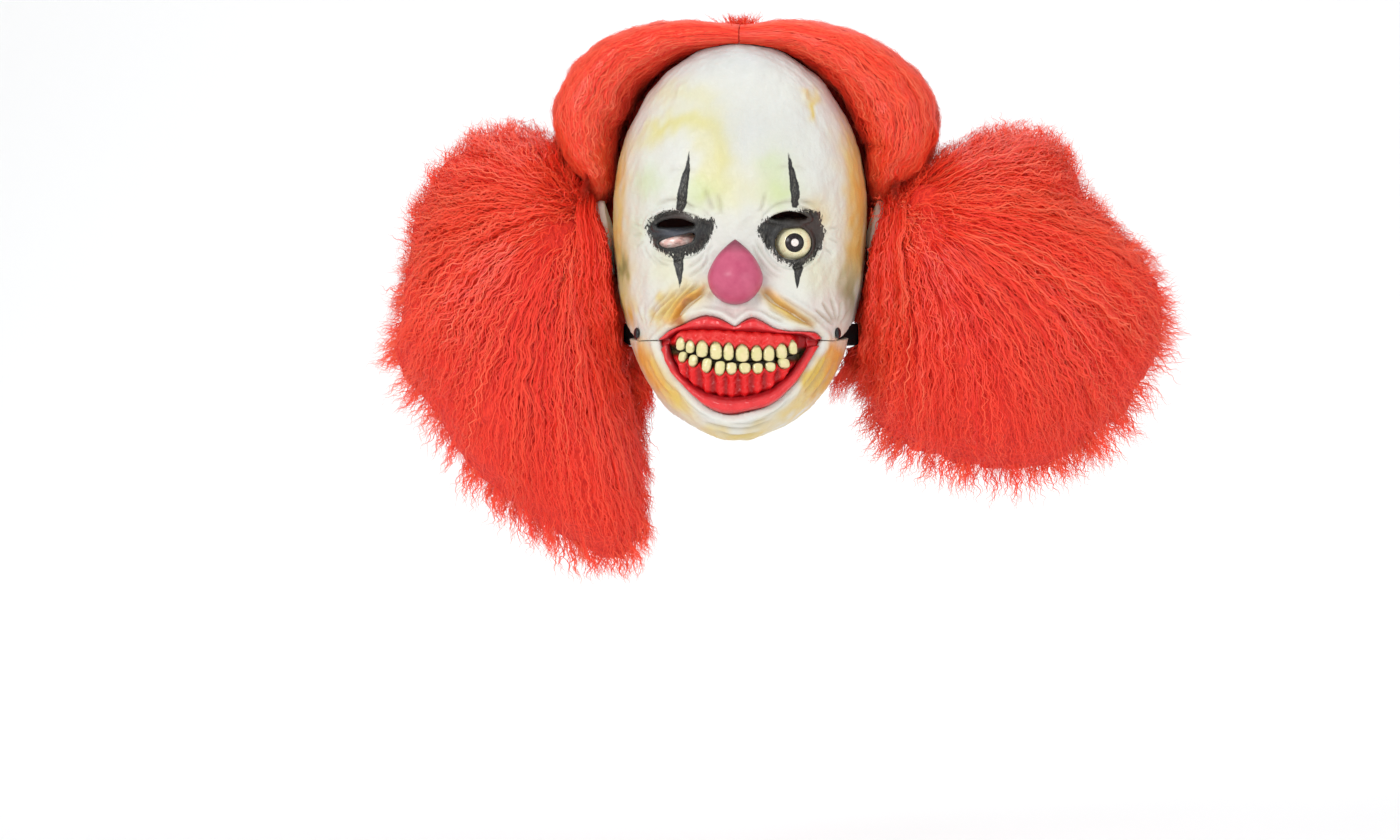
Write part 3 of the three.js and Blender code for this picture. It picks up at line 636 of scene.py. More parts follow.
def relief(x, z):
    """Cheeks, brow, bridge of the nose and eye hollows, as in the CAD."""
    side = np.abs(x)
    return (
        4 * hump(side, z, (52, -38), (20, 18))
        + 3 * hump(side, z, (40, 28), (24, 10))
        + 5 * hump(x, z, (0, -2), (9, 22))
        - 7 * hump(x, z, (-40, -1), (20, 13))
        - 7 * hump(x, z, (41, -2), (19, 15))
    )


def shaped(value, power):
    """A power that keeps the sign."""
    return np.sign(value) * np.abs(value) ** power


def plain_head(level, turn):
    """Points on the smooth head: level runs from chin to crown, and turn is 0 at the front."""
    level, turn = np.broadcast_arrays(np.asarray(level, float), np.asarray(turn, float))
    z, half, front, centre, rear = head_section(level)
    forward = np.cos(turn)
    power = np.where(forward > 0, FACE_FLATNESS, 1.0)
    x = half * shaped(np.sin(turn), power)
    y = centre + (np.where(forward > 0, front, rear) - centre) * np.abs(forward) ** power
    y = y - relief(x, z) * np.maximum(forward, 0)
    return np.stack([x, y, z], -1)


def head_normal(level, turn):
    """The direction straight out of the head, from small steps on its surface."""
    step = 0.004
    across = plain_head(level, turn + step) - plain_head(level, turn - step)
    along = plain_head(np.minimum(level + step, 1), turn) - plain_head(np.maximum(level - step, -1), turn)
    normal = np.cross(across, along)
    return normal / np.maximum(np.linalg.norm(normal, axis=-1, keepdims=True), 1e-9)


def head_points(level, turn, grow=0.0):
    """Places on the head, moved out along its normals by grow."""
    grow = np.asarray(grow, float)
    return plain_head(level, turn) + head_normal(level, turn) * grow[..., None]


def bisect(place, goal, low, high):
    """Where between low and high each rising place reaches its goal."""
    low, high = np.full(goal.shape, low), np.full(goal.shape, high)
    for _ in range(30):
        middle = (low + high) / 2
        under = place(middle) < goal
        low, high = np.where(under, middle, low), np.where(under, high, middle)
    return low


def front_place(x, z):
    """The level and turn of the head's surface at a place seen from the front."""
    x, z = np.broadcast_arrays(np.asarray(x, float), np.asarray(z, float))
    level = bisect(lambda at: head_section(at)[0], z, -1.0, 1.0)
    return level, bisect(lambda at: plain_head(level, at)[..., 0], x, -math.pi / 2, math.pi / 2)


def front_points(x, z, grow=0.0):
    """Places on the front of the head at the given x and z."""
    return head_points(*front_place(x, z), grow)


def head_slab(level, turn, outside, inside, faces):
    """A closed sheet that follows the head between two depths."""
    outer, inner = (head_points(level, turn, depth).reshape(-1, 3) for depth in (outside, inside))
    return close_shell(outer, inner, faces)


# ------------------------------------------------------------------ outlines of the face, from the front

# Outlines on the face as (x, z) places: mouth, lips, eye openings and black patches.
MOUTH_TOP = [
    (-54.5, -74), (-46, -67.5), (-38, -64), (-29, -59.5), (-20.5, -57), (-12, -58.5), (-5, -62),
    (0.3, -64.8), (5, -61.5), (12, -58.3), (19, -61), (27, -65.8), (36, -68), (48, -68.2), (56, -69),
    (60, -73),
]
MOUTH_LOW = [
    (-52.5, -81), (-48.5, -90), (-43.5, -98.5), (-29.5, -112.5), (-16.5, -123), (-3.5, -126.5),
    (10.5, -124), (22, -121), (32, -114.5), (42.5, -103), (52, -88), (58.5, -78),
]
LIP_TOP_INNER = [
    (-49, -73.5), (-38, -67.8), (-20, -66.8), (0, -67.8), (20, -68.8), (35, -70), (46, -70.6),
    (54, -74),
]
LIP_LOW_INNER = [
    (-48, -77), (-45.5, -86), (-40, -95), (-33, -103), (-21, -110.5), (-5.5, -114), (10.5, -113),
    (24.5, -108.5), (37, -99), (46, -88), (51.5, -79),
]
SQUINT_OPENING = [
    (-53, -6.8), (-45, -3.2), (-37.6, -1), (-27.7, 0.8), (-26.3, -2), (-28.6, -6.8), (-33, -9.4),
    (-38.5, -11.2), (-44.7, -12.1), (-49.5, -10.3),
]
LEFT_SLIT = [
    (-56, 5), (-50, 8.7), (-42, 9.8), (-34, 8.7), (-27, 5.4), (-34, 3.7), (-42, 3.1), (-50, 3.4),
]
RIGHT_SLIT = [(24, 9.8), (30, 13.6), (37, 15), (44, 13.8), (50, 10.2), (44, 8.9), (37, 9.3), (30, 8.7)]
BALL_PLACE = (39, -7)
BALL_RADIUS = 13
BALL_OPENING_RADIUS = 12.8
BALL_LID_Z = 4.6
LEFT_PATCH = [
    (-57, 11), (-51, 15), (-41, 16), (-34, 13.5), (-28.5, 10.5), (-19, 9.5), (-13.5, 6), (-16, -1.5),
    (-20.5, -8.5), (-28, -14), (-36, -16), (-41, -17.5), (-48, -15), (-55.5, -10.5), (-59, -6),
    (-61.5, -0.5), (-62, 5.5),
]
RIGHT_PATCH = [
    (19, 7.5), (22.5, 10), (28, 12.5), (36, 14.5), (45, 15.8), (53, 15.8), (58, 14), (59.5, 7.5),
    (61.5, 1.5), (60, -6), (58, -11), (53, -17.5), (46.5, -22), (40, -23), (35.5, -22), (29.5, -18.5),
    (24, -12), (19, -7), (16, -1.5), (16.5, 4),
]
# Thin strokes of black: a spike over each eye, and a tear under each.
STROKES = [
    [(-32, 57), (-31.3, 45), (-32.5, 30.5), (-33.4, 20.5), (-35.5, 15),
     (-40, 15), (-41.4, 20.5), (-39.2, 30.5), (-35, 45)],
    [(36.2, 57), (39.2, 48), (43.7, 33.5), (44.2, 25), (42.6, 17.5),
     (39, 17.5), (38.2, 25), (37.5, 33.5), (36.4, 48)],
    [(-44.3, -13), (-43.8, -16.5), (-41.5, -26.5), (-39.6, -33.5), (-38.3, -39),
     (-37.2, -33.5), (-36, -26.5), (-35.4, -16.5), (-34.5, -13)],
    [(38, -19), (39.2, -22), (40.5, -29.5), (41.5, -35), (42.5, -39),
     (43.7, -35), (45, -29.5), (46.8, -22), (48, -19)],
]

mouth_ring = np.concatenate([smooth_line(MOUTH_TOP), smooth_line(MOUTH_LOW)[::-1]])
squint_ring = smooth_line(SQUINT_OPENING, 5, closed=True)
left_slit_ring = smooth_line(LEFT_SLIT, 5, closed=True)
right_slit_ring = smooth_line(RIGHT_SLIT, 5, closed=True)


def ball_ring():
    """The opening round the bulging eyeball, with its top under the upper lid."""
    turn = circle(48)
    x = BALL_OPENING_RADIUS * np.sin(turn)
    z = BALL_OPENING_RADIUS * np.cos(turn)
    lid = BALL_LID_Z - BALL_PLACE[1] - 0.012 * (x - 2) ** 2
    return np.stack([BALL_PLACE[0] + x, BALL_PLACE[1] + np.minimum(z, lid)], 1)


eye_ring = ball_ring()

# Folds of the latex: a line seen from the front, half width and depth of its groove.
LEFT_CHEEK_FOLDS = [
    ([(-19, -39), (-30.6, -48), (-38, -55), (-45.5, -64.5)], 1.7, 3.4),
    ([(-24, -35.5), (-35, -43.5), (-42.3, -52), (-47.5, -61.5)], 1.5, 2.6),
    ([(-31, -34.5), (-42.3, -46), (-49.5, -55), (-56, -61)], 1.4, 2.3),
    ([(-38, -38.5), (-47.5, -46.5), (-56.5, -55), (-62, -62)], 1.3, 1.9),
    ([(-46.6, -41), (-54, -48), (-61, -56.5)], 1.2, 1.4),
    ([(-27, -42.5), (-34, -49), (-40, -56.5)], 0.9, 1.3),
]
RIGHT_CHEEK_FOLDS = [
    ([(17, -38), (26.6, -47.5), (36.6, -53.5), (48, -60.5), (58, -67.5)], 1.9, 3.4),
    ([(29, -43), (41, -50.5), (52, -57.5), (61, -64)], 1.3, 1.3),
    ([(20, -47), (29, -54.5), (39, -59.5), (50, -64.5)], 1.2, 1.4),
    ([(17, -53), (25, -58.5), (33, -62)], 0.9, 0.9),
    ([(22, -52), (30, -57), (38, -61.5)], 0.8, 0.8),
]
CORNER_FAN = [
    ([(67.5, -63.5), (61, -58.5), (54.5, -53)], 0.8, 1.5),
    ([(68, -62), (64, -55.5), (59.5, -47.5)], 0.8, 1.7),
    ([(69, -61), (67.5, -53.5), (66, -44.5)], 0.8, 1.7),
    ([(70.5, -61), (71.5, -54), (72.5, -46.5)], 0.8, 1.5),
    ([(72, -62), (75, -57), (78, -52)], 0.8, 0.9),
    ([(-66, -62), (-68.5, -56.5), (-70.5, -50)], 0.8, 0.8),
    ([(-63.5, -63), (-64.5, -57), (-65, -51)], 0.8, 0.8),
]
UNDER_EYE_FOLDS = [
    ([(-21, -13.5), (-25.5, -19.5), (-32.5, -24)], 0.8, 0.8),
    ([(-17.5, -17), (-23, -24.5), (-31.5, -30)], 0.8, 0.8),
    ([(-15.5, -8), (-18.5, -13), (-19.5, -19)], 0.8, 0.6),
    ([(13.5, -4), (17.5, -12.5), (24.5, -21.5), (33.5, -28)], 0.9, 1.0),
    ([(11, -8), (15.5, -17), (22.5, -26), (31.5, -32.5)], 0.9, 0.9),
    ([(13, -16), (18.5, -25), (27, -33)], 0.8, 0.7),
    ([(-59, -14), (-52, -20.5), (-45.5, -22.5)], 0.8, 0.8),
    ([(-64.5, -9), (-60, -16), (-53.5, -22.5)], 0.8, 0.6),
    ([(-66, 5), (-72, 7)], 0.7, 0.6),
    ([(-66, 0), (-73, -1.5)], 0.7, 0.6),
    ([(-64.5, -5), (-71, -9)], 0.7, 0.6),
    ([(63.5, -3), (70, -6)], 0.7, 0.6),
    ([(63.5, 3), (71, 4.5)], 0.7, 0.6),
    ([(61, -9.5), (67, -14.5)], 0.7, 0.6),
]
BROW_FOLDS = [
    ([(-21, 30), (-18, 22), (-15.5, 14)], 1.4, 1.0),
    ([(-12, 27), (-10.5, 19), (-10, 11)], 1.2, 0.8),
    ([(21, 27), (19.5, 20), (17.5, 13)], 1.3, 0.9),
    ([(-55, 19), (-46, 22.5), (-36, 20.5), (-27, 15.5)], 1.2, 1.2),
    ([(24, 17), (34, 20.5), (46, 21.5), (58, 19)], 1.2, 1.1),
    ([(-48, 42), (-38, 45), (-27, 43)], 1.5, 0.5),
    ([(27, 44), (38, 46.5), (50, 43.5)], 1.5, 0.5),
]
JAW_FOLDS = [
    ([(-24, -130.5), (-8, -134), (10, -133.5), (26, -129.5)], 1.0, 1.2),
    ([(-15, -136), (0, -138), (16, -136.5)], 1.0, 1.0),
    ([(-4, -130.8), (10, -130.6), (24, -126.8)], 0.8, 0.8),
    ([(64, -86), (57, -99), (47, -111)], 1.0, 1.4),
    ([(69, -88), (62, -101), (52, -114)], 1.0, 1.2),
    ([(60, -84), (54, -95), (46, -104.5)], 0.8, 0.8),
    ([(-58, -84), (-53, -97), (-43, -110)], 0.9, 1.0),
    ([(-62, -87), (-56.5, -100), (-46, -113.5)], 0.9, 0.8),
    ([(-38, -111), (-29, -120), (-17, -127.5)], 0.8, 0.7),
    ([(37, -113.5), (28, -122.5), (16, -128)], 0.8, 0.7),
]
FOLD_REACH = 9
ALL_FOLDS = LEFT_CHEEK_FOLDS + RIGHT_CHEEK_FOLDS + CORNER_FAN + UNDER_EYE_FOLDS + BROW_FOLDS + JAW_FOLDS


def fold_shape(x, z, folds):
    """Grooves with a soft roll on each side, and how deep into a groove each place is, from 0 to 1."""
    height = np.zeros(np.shape(x))
    depth_share = np.zeros(np.shape(x))
    for points, width, depth in folds:
        line = smooth_line(points, 5)
        (low_x, low_z), (high_x, high_z) = line.min(0) - FOLD_REACH, line.max(0) + FOLD_REACH
        near = (x > low_x) & (x < high_x) & (z > low_z) & (z < high_z)
        away, along = line_distance(x[near], z[near], line)
        taper = np.clip(5 * np.minimum(along, 1 - along), 0, 1) ** 0.7
        groove = np.exp(-((away / width) ** 2))
        roll = np.exp(-(((away - 2.3 * width) / (1.5 * width)) ** 2))
        height[near] += 1.35 * depth * taper * (0.42 * roll - groove)
        depth_share[near] = np.maximum(depth_share[near], groove * taper * min(1, depth / 1.7))
    return height, depth_share


def ring_wave(away, place, width, size):
    """A roll, or a groove, at a distance from an outline."""
    return size * np.exp(-(((away - place) / width) ** 2))


def eye_height(x, z):
    """Lids, pouches and the fold round each eye."""
    squint = outline_distance(x, z, squint_ring)
    left_slit = outline_distance(x, z, left_slit_ring)
    right_slit = outline_distance(x, z, right_slit_ring)
    ball = outline_distance(x, z, eye_ring)
    above_left = 1 / (1 + np.exp(-(z - 6 - 0.06 * (x + 42)) / 1.2))
    above_right = 1 / (1 + np.exp(-(z - 11) / 1.2))
    below_left = 1 / (1 + np.exp((z + 6 - 0.2 * (x + 40)) / 1.5))
    below_right = 1 / (1 + np.exp((z + 2) / 1.5))
    pouch_left = ring_wave(squint, 6.2, 1.5, -1.4) + ring_wave(squint, 9.0, 1.8, 1.3)
    left = ring_wave(squint, 0.5, 3.4, 4.4) + below_left * pouch_left
    left += ring_wave(left_slit, 1.6, 1.5, 1.5)
    left += above_left * (ring_wave(left_slit, 4.2, 1.0, -1.7) + ring_wave(left_slit, 7.0, 1.7, 2.6))
    left += above_left * ring_wave(left_slit, 10.0, 1.1, -1.3)
    pouch_right = ring_wave(ball, 4.4, 1.2, -1.6) + ring_wave(ball, 7.2, 1.6, 1.5)
    right = ring_wave(ball, 0.6, 2.0, 3.2) + below_right * pouch_right
    right += ring_wave(right_slit, 1.6, 1.6, 2.0)
    right += above_right * (ring_wave(right_slit, 4.0, 0.9, -1.6) + ring_wave(right_slit, 6.4, 1.5, 2.2))
    side = np.clip((x + 4) / 8, 0, 1)
    reach_left = np.exp(-np.maximum(outline_distance(x, z, np.array(LEFT_PATCH)), 0) ** 2 / 30)
    reach_right = np.exp(-np.maximum(outline_distance(x, z, np.array(RIGHT_PATCH)), 0) ** 2 / 30)
    return left * (1 - side) * reach_left + right * side * reach_right


BROW_SCAR = [(-41, 99), (-38.5, 103), (-34, 103.5), (-31.5, 100.5)]
BROW_SPOT = (52, 96.5)


def latex_height(points):
    """How far the sculpted latex stands off the head's surface, and how deep each place is in a fold."""
    x, y, z = points.T
    front = np.clip((-y - 18) / 22, 0, 1)
    mouth = outline_distance(x, z, mouth_ring)
    lips = ring_wave(mouth, 3.0, 2.4, 2.2) + ring_wave(mouth, 0, 0.9, -1.0)
    folds, in_fold = fold_shape(x, z, ALL_FOLDS)
    eyes = eye_height(x, z)
    soft = 0.45 * waves(points, 34, 3) + 0.22 * waves(points, 13, 5) + 0.09 * waves(points, 5.5, 8)
    skin = 0.10 * waves(points * (1.0, 0.6, 1.7), 3.6, 9)
    scar_away, _ = line_distance(x, z, smooth_line(BROW_SCAR, 5))
    spot = np.hypot(x - BROW_SPOT[0], z - BROW_SPOT[1])
    pit = ring_wave(spot, 5.0, 1.3, 0.8) + ring_wave(spot, 0, 2.2, -0.5)
    ridges = hump(x, z, (-8, -54), (3.5, 6)) + hump(x, z, (8, -54), (3.5, 6))
    philtrum = -1.6 * hump(x, z, (0, -56), (3.5, 8)) + 0.9 * ridges
    chin = 2.6 * hump(x, z, (1, -134), (19, 9))
    spikes = 0.0
    for stroke in STROKES:
        inside = outline_distance(x, z, np.array(stroke, float))
        spikes = spikes + ring_wave(np.minimum(inside, 0) + 2.2, 0, 1.3, -0.7) * (inside < 0)
    height = front * (lips + folds + eyes + philtrum + chin + spikes) + soft + skin
    height = height + np.exp(-((scar_away / 1.2) ** 2)) + pit
    return height, in_fold * front


# Soft washes of paint, and grey spots of painted shade: colour, strength, place or line, and size.
WASH_STRENGTH = 1.6
NO_BLACK = -30.0
YELLOW = (0.76, 0.54, 0.08)
STRAW = (0.74, 0.68, 0.27)
ORANGE = (0.80, 0.36, 0.045)
RUST = (0.48, 0.15, 0.035)
LIME = (0.55, 0.68, 0.25)
OLIVE = (0.22, 0.21, 0.06)
PINK = (0.80, 0.56, 0.53)
PAINTED_SHADE_GREY = (0.55, 0.57, 0.57)
WHITE = (0.75, 0.75, 0.70)
# Colour laid into the folds: grey-brown, and orange-brown on the cheeks; partly a wash, partly painted shade
# in the grooves.
FOLD_WASH_AND_SHADE = np.array([0.36, 0.30, 0.21])
CHEEK_FOLD_WASH_AND_SHADE = (0.54, 0.26, 0.055)
INK = (0.006, 0.006, 0.006)
SLATE = (0.085, 0.095, 0.125)
UMBER = (0.060, 0.036, 0.028)
WASH_LINES = [
    (YELLOW, 0.50, [(-85, 84), (-87, 40), (-87, 0), (-82, -24), (-78, -48)], 9),
    (ORANGE, 0.30, [(-88, 46), (-89, 36)], 6),
    (ORANGE, 0.35, [(-89, 8), (-88, -14)], 7),
    (YELLOW, 0.52, [(79, 78), (84, 30), (84, 0), (80, -34)], 10),
    (ORANGE, 0.42, [(86, 44), (87, 10), (85, -22)], 6),
    (STRAW, 0.60, [(-70, 64), (-50, 74), (-31, 78), (-15, 73), (-9, 52), (-8, 32)], 8),
    (STRAW, 0.28, [(-60, 96), (-30, 98), (-10, 84)], 10),
    (STRAW, 0.36, [(-24, 72), (-20, 50), (-18, 30)], 9),
    (ORANGE, 0.50, [(20, -40), (30, -48), (44, -60)], 3.4),
    (YELLOW, 0.45, [(-84, -40), (-78, -58)], 7),
    (ORANGE, 0.38, [(-80, -50), (-76, -66)], 4),
    (ORANGE, 0.62, [(-26, -40), (-38, -50), (-48, -60)], 3.2),
    (YELLOW, 0.60, [(-23, -38), (-37, -48), (-50, -60)], 9),
    (ORANGE, 0.72, [(-22, -38.5), (-33, -46), (-42, -55), (-46.5, -62)], 3.0),
    (RUST, 0.80, [(-28, -46), (-36, -53), (-44, -62.5)], 1.5),
    (YELLOW, 0.35, [(-40, -42), (-52, -54), (-60, -62)], 4),
    (YELLOW, 0.60, [(23, -47), (36, -56), (54, -66)], 4.2),
    (ORANGE, 0.30, [(20, -42), (34, -53), (54, -65)], 1.6),
    (RUST, 0.38, [(36, -54), (48, -61), (56, -66.5)], 1.1),
    (YELLOW, 0.80, [(-66, -78), (-56, -95), (-44, -112), (-32, -126)], 7),
    (ORANGE, 0.80, [(-71, -76), (-62, -95), (-49, -112)], 6.5),
    (ORANGE, 0.95, [(72, -76), (64, -94), (54, -110)], 9),
    (YELLOW, 0.60, [(62, -82), (54, -97), (44, -110)], 5),
    (RUST, 0.25, [(76, -82), (70, -96)], 3),
    (YELLOW, 0.50, [(-26, -136), (0, -141), (26, -136)], 6),
    (YELLOW, 0.45, [(62, -102), (44, -120), (28, -131)], 6),
    (YELLOW, 0.55, [(52, 92), (53, 80)], 3.2),
]
WASH_SPOTS = [
    (LIME, 0.30, (-63, 36), (11, 13)),
    (LIME, 0.40, (-22, 27), (15, 10)),
    (LIME, 0.30, (28, 44), (12, 14)),
    (LIME, 0.40, (31, 27), (14, 9)),
    (LIME, 0.18, (-70, 4), (8, 12)),
    (YELLOW, 0.28, (58, 12), (9, 13)),
    (OLIVE, 0.55, (-80, -23), (3.6, 9)),
    (OLIVE, 0.50, (78, -40), (6, 19)),
    (PINK, 0.32, (2, -54), (11, 8)),
    (PINK, 0.20, (64, -52), (12, 12)),
    (PINK, 0.18, (22, -30), (10, 12)),
    (YELLOW, 0.40, BROW_SPOT, (6, 6)),
    (STRAW, 0.26, (-2, 30), (24, 16)),
    (STRAW, 0.20, (-48, -26), (16, 14)),
    (STRAW, 0.20, (56, -28), (14, 16)),
    # Grey spots of painted shade: high on the forehead under the top hair, and on the middle of the
    # forehead.
    (PAINTED_SHADE_GREY, 0.45, (0, 128), (60, 16)),
    (PAINTED_SHADE_GREY, 0.22, (6, 70), (34, 26)),
]


def tinted(color, tint, share):
    """The colour of each point, with a share of a tint laid over it."""
    share = share[:, None]
    return color * (1 - share) + np.asarray(tint) * share


def latex_colors(points, in_fold):
    """The washes on the white paint, the grey spots of painted shade, and a wash with painted shade in the
    folds, one colour for each point.
    """
    x, y, z = points.T
    wobble = 2.2 * waves(points, 17, 21)
    color = np.tile(WHITE, (len(points), 1))
    front = np.clip((10 - y) / 20, 0, 1)
    for tint, strength, line, size in WASH_LINES:
        away, along = line_distance(x + wobble, z - wobble, smooth_line(line, 4))
        ends = 0.45 + 0.55 * np.clip(6 * np.minimum(along, 1 - along), 0, 1)
        share = np.minimum(0.94, WASH_STRENGTH * strength) * ends * np.exp(-((away / size) ** 2)) * front
        color = tinted(color, tint, share)
    for tint, strength, place, size in WASH_SPOTS:
        share = WASH_STRENGTH * strength * hump(x + wobble, z - wobble, place, size) * front
        color = tinted(color, tint, share)
    # Folds get this colour more strongly the deeper the groove: partly a wash, partly painted shade.
    stain = tinted(FOLD_WASH_AND_SHADE, CHEEK_FOLD_WASH_AND_SHADE, hump(np.abs(x), z, (45, -55), (30, 18)))
    return tinted(color, stain, 0.55 * in_fold)


def latex_ink(points):
    """Black brushwork: depth inside its outline, raggedness, dry streaks and colour, point by point."""
    x, y, z = points.T
    black = np.full(len(points), NO_BLACK)
    ragged, dry = np.zeros((2, len(points)))
    front = y < -30

    def brush(outline, rough, dryness):
        inside = -outline_distance(x, z, outline)
        take = (inside > black) & front
        black[take], ragged[take] = inside[take], rough
        dry[take] = dryness(inside[take])

    for patch, rough in ((LEFT_PATCH, 13.0), (RIGHT_PATCH, 11.0)):
        outline = smooth_line(patch, 3, closed=True)
        brush(outline, rough, lambda inside: 0.25 + 0.6 * np.exp(-((inside / 3) ** 2)))
    for stroke in STROKES:
        brush(np.array(stroke, float), 1.8, lambda inside: np.clip((inside - 0.8) / 1.2, 0, 1) * 0.95)
    slate = hump(x - 0.25 * z, z, (-42, 0.6), (12, 3.0)) * (x < 0)
    umber = np.maximum(hump(x, z, (50, 2), (13, 16)), hump(x, z, (-36, 12), (12, 4)))
    ink = np.tile(INK, (len(points), 1))
    ink = tinted(tinted(ink, SLATE, 0.8 * slate), UMBER, 0.7 * umber)
    return black, ragged, np.clip(dry - 0.3 * umber, 0, 1), ink


# ------------------------------------------------------------------ latex shells

FAR = 30.0
# All holes in the face lie in this box: half width, lowest, highest and rearmost place.
HOLES_WITHIN = (66, -130, 20, -45)


def edge_of_hole(points, ring):
    """Distance to the edge of a hole in the face, positive outside the hole."""
    x, y, z = np.moveaxis(points, -1, 0)
    half_width, low, high, rear = HOLES_WITHIN
    reach = (np.abs(x) < half_width) & (z > low) & (z < high) & (y < rear)
    away = np.full(x.shape, FAR)
    away[reach] = outline_distance(x[reach], z[reach], ring)
    return away


def face_region(points):
    """Distance to the edge of the face shell, negative on it."""
    y, z = points[..., 1], points[..., 2]
    edge = JAW_SPLIT_Z + np.maximum(0, y - PIVOT[1]) * NOTCH_TOP_SLOPE
    away = np.maximum(edge - z, y - CAP_FRONT_Y)
    for ring in (mouth_ring, squint_ring, eye_ring, left_slit_ring, right_slit_ring):
        away = np.maximum(away, -edge_of_hole(points, ring))
    return away


def jaw_region(points):
    """Distance to the edge of the jaw shell, negative on it."""
    y, z = points[..., 1], points[..., 2]
    edge = JAW_SPLIT_Z - GAP + np.maximum(0, y - PIVOT[1]) * NOTCH_LOW_SLOPE
    under = y - (JAW_REAR_Y + np.minimum(z + 80, 0) / 3)
    away = np.maximum(np.maximum(z - edge, y - JAW_REAR_Y), under)
    return np.maximum(away, -edge_of_hole(points, mouth_ring))


def cap_region(points):
    """Negative where the wig cap is: behind its front edge and above its hem."""
    y, z = points[..., 1], points[..., 2]
    return np.maximum(CAP_FRONT_Y + GAP - y, CAP_HEM_Z - z)


def spaced(start, stop, spacing, samples=1500):
    """Places from start to stop. spacing(place) gives a path, and the millimetres between places on it."""
    at = np.linspace(start, stop, samples)
    path, gap = spacing(at)
    steps = np.linalg.norm(np.diff(path, axis=0), axis=1) / (0.5 * (gap[1:] + gap[:-1]))
    run = np.concatenate([[0], np.cumsum(steps)])
    return np.interp(np.linspace(0, run[-1], int(round(run[-1])) + 1), run, at)


def edge_slope(region, level, turn, level_step, turn_step):
    """How fast the distance to the edge grows along a step each way, and that path's squared length."""
    ahead = plain_head(level + level_step, turn + turn_step)
    behind = plain_head(level - level_step, turn - turn_step)
    return region(ahead) - region(behind), np.maximum(((ahead - behind) ** 2).sum(-1), 1e-12)


def snap_to_edge(levels, turns, region):
    """A grid of places, those beside the region's edge moved onto it, and their distance to the edge."""
    level, turn = (np.array(a) for a in np.meshgrid(levels, turns, indexing="ij"))
    away = region(plain_head(level, turn))
    near = np.zeros(away.shape, bool)
    before, after, every = slice(0, -1), slice(1, None), slice(None)
    for first, second in (((before, every), (after, every)), ((every, before), (every, after))):
        crosses = (away[first] > 0) != (away[second] > 0)
        first_nearer = np.abs(away[first]) <= np.abs(away[second])
        near[first] |= crosses & first_nearer
        near[second] |= crosses & ~first_nearer
    moved_level, moved_turn = level[near], turn[near]
    step = 1e-4
    for _ in range(5):
        here = region(plain_head(moved_level, moved_turn))
        slope_level, size_level = edge_slope(region, moved_level, moved_turn, step, 0)
        slope_turn, size_turn = edge_slope(region, moved_level, moved_turn, 0, step)
        total = np.maximum(slope_level**2 / size_level + slope_turn**2 / size_turn, 1e-6)
        moved_level = moved_level - np.clip(here * slope_level / size_level / total, -1.5, 1.5) * 2 * step
        moved_turn = moved_turn - np.clip(here * slope_turn / size_turn / total, -1.5, 1.5) * 2 * step
    level[near], turn[near] = moved_level, moved_turn
    away = region(plain_head(level, turn))
    away[near] = 0
    return level, turn, away


def region_faces(away):
    """The faces of the grid on the region's side; a face cut across its corners becomes a triangle."""
    rows, columns = away.shape
    faces = grid_faces(rows, columns)
    side = np.sign(np.where(np.abs(away) < 1e-6, 0, away)).ravel()[faces]
    whole = (side <= 0).all(1) & ((side < 0).sum(1) >= 1)
    kept = [faces[whole]]
    mixed = (side < 0).any(1) & (side > 0).any(1)
    for corner in range(4):
        after, across, before = ((corner + step) % 4 for step in (1, 2, 3))
        take = mixed & (side[:, corner] < 0) & (side[:, after] <= 0) & (side[:, before] <= 0)
        take &= side[:, across] > 0
        triangle = faces[take][:, [before, corner, after]]
        kept.append(np.concatenate([triangle, np.full((len(triangle), 1), -1)], 1))
    return np.concatenate(kept)


def softened(gap):
    """Spacings averaged over their neighbours, so that they change slowly."""
    return np.convolve(np.pad(gap, 12, mode="edge"), np.ones(25) / 25, "valid")


def grid_turns():
    """Turns around the head, closest together on the front of the face."""
    def spacing(turn):
        path = plain_head(-0.35, turn)
        side = np.abs(path[:, 0])
        return path, softened(np.where(path[:, 1] > 20, 7.0, np.where(side > 66, 1.9, 1.0)))
    return spaced(-math.pi, math.pi, spacing)


def grid_levels(low, high, fine_from, fine_to, fine, coarse):
    """Levels of a grid that is fine between two heights and coarse elsewhere."""
    def spacing(level):
        path = plain_head(level, 0.0)
        return path, softened(np.where((path[:, 2] > fine_from) & (path[:, 2] < fine_to), fine, coarse))
    return spaced(low, high, spacing)


def even_levels(low, high, gap):
    """Levels with the same gap everywhere."""
    return grid_levels(low, high, 0, 0, gap, gap)


def latex_shell(name, body, node, levels, region, pole):
    """A painted shell of sculpted latex, closed at the pole of the head that its levels end at."""
    level, turn, away = snap_to_edge(levels, grid_turns(), region)
    faces = region_faces(away)
    rows, columns = level.shape
    level, turn = level.ravel(), turn.ravel()
    plain = plain_head(level, turn)
    height, in_fold = latex_height(plain)
    outer = plain + head_normal(level, turn) * height[:, None]
    inner = head_points(level, turn, -LATEX)
    outer, inner, faces = add_pole(outer, inner, faces, rows, columns, pole)
    plain = np.concatenate([plain, outer[-1:]])
    in_fold = np.append(in_fold, 0)
    points, faces, kind, used = close_shell(outer, inner, faces)
    looks = ["painted_latex", "bare_latex"]
    piece = make_piece(name, points, faces, looks, body, (node,), np.where(kind == 1, 1, 0))
    source = np.tile(plain, (2, 1))[used]
    black, ragged, dry, ink = latex_ink(source)
    wash = latex_colors(source, np.tile(in_fold, 2)[used])
    give_values(piece, wash=wash, black=black, ragged=ragged, dry=dry, ink=ink)


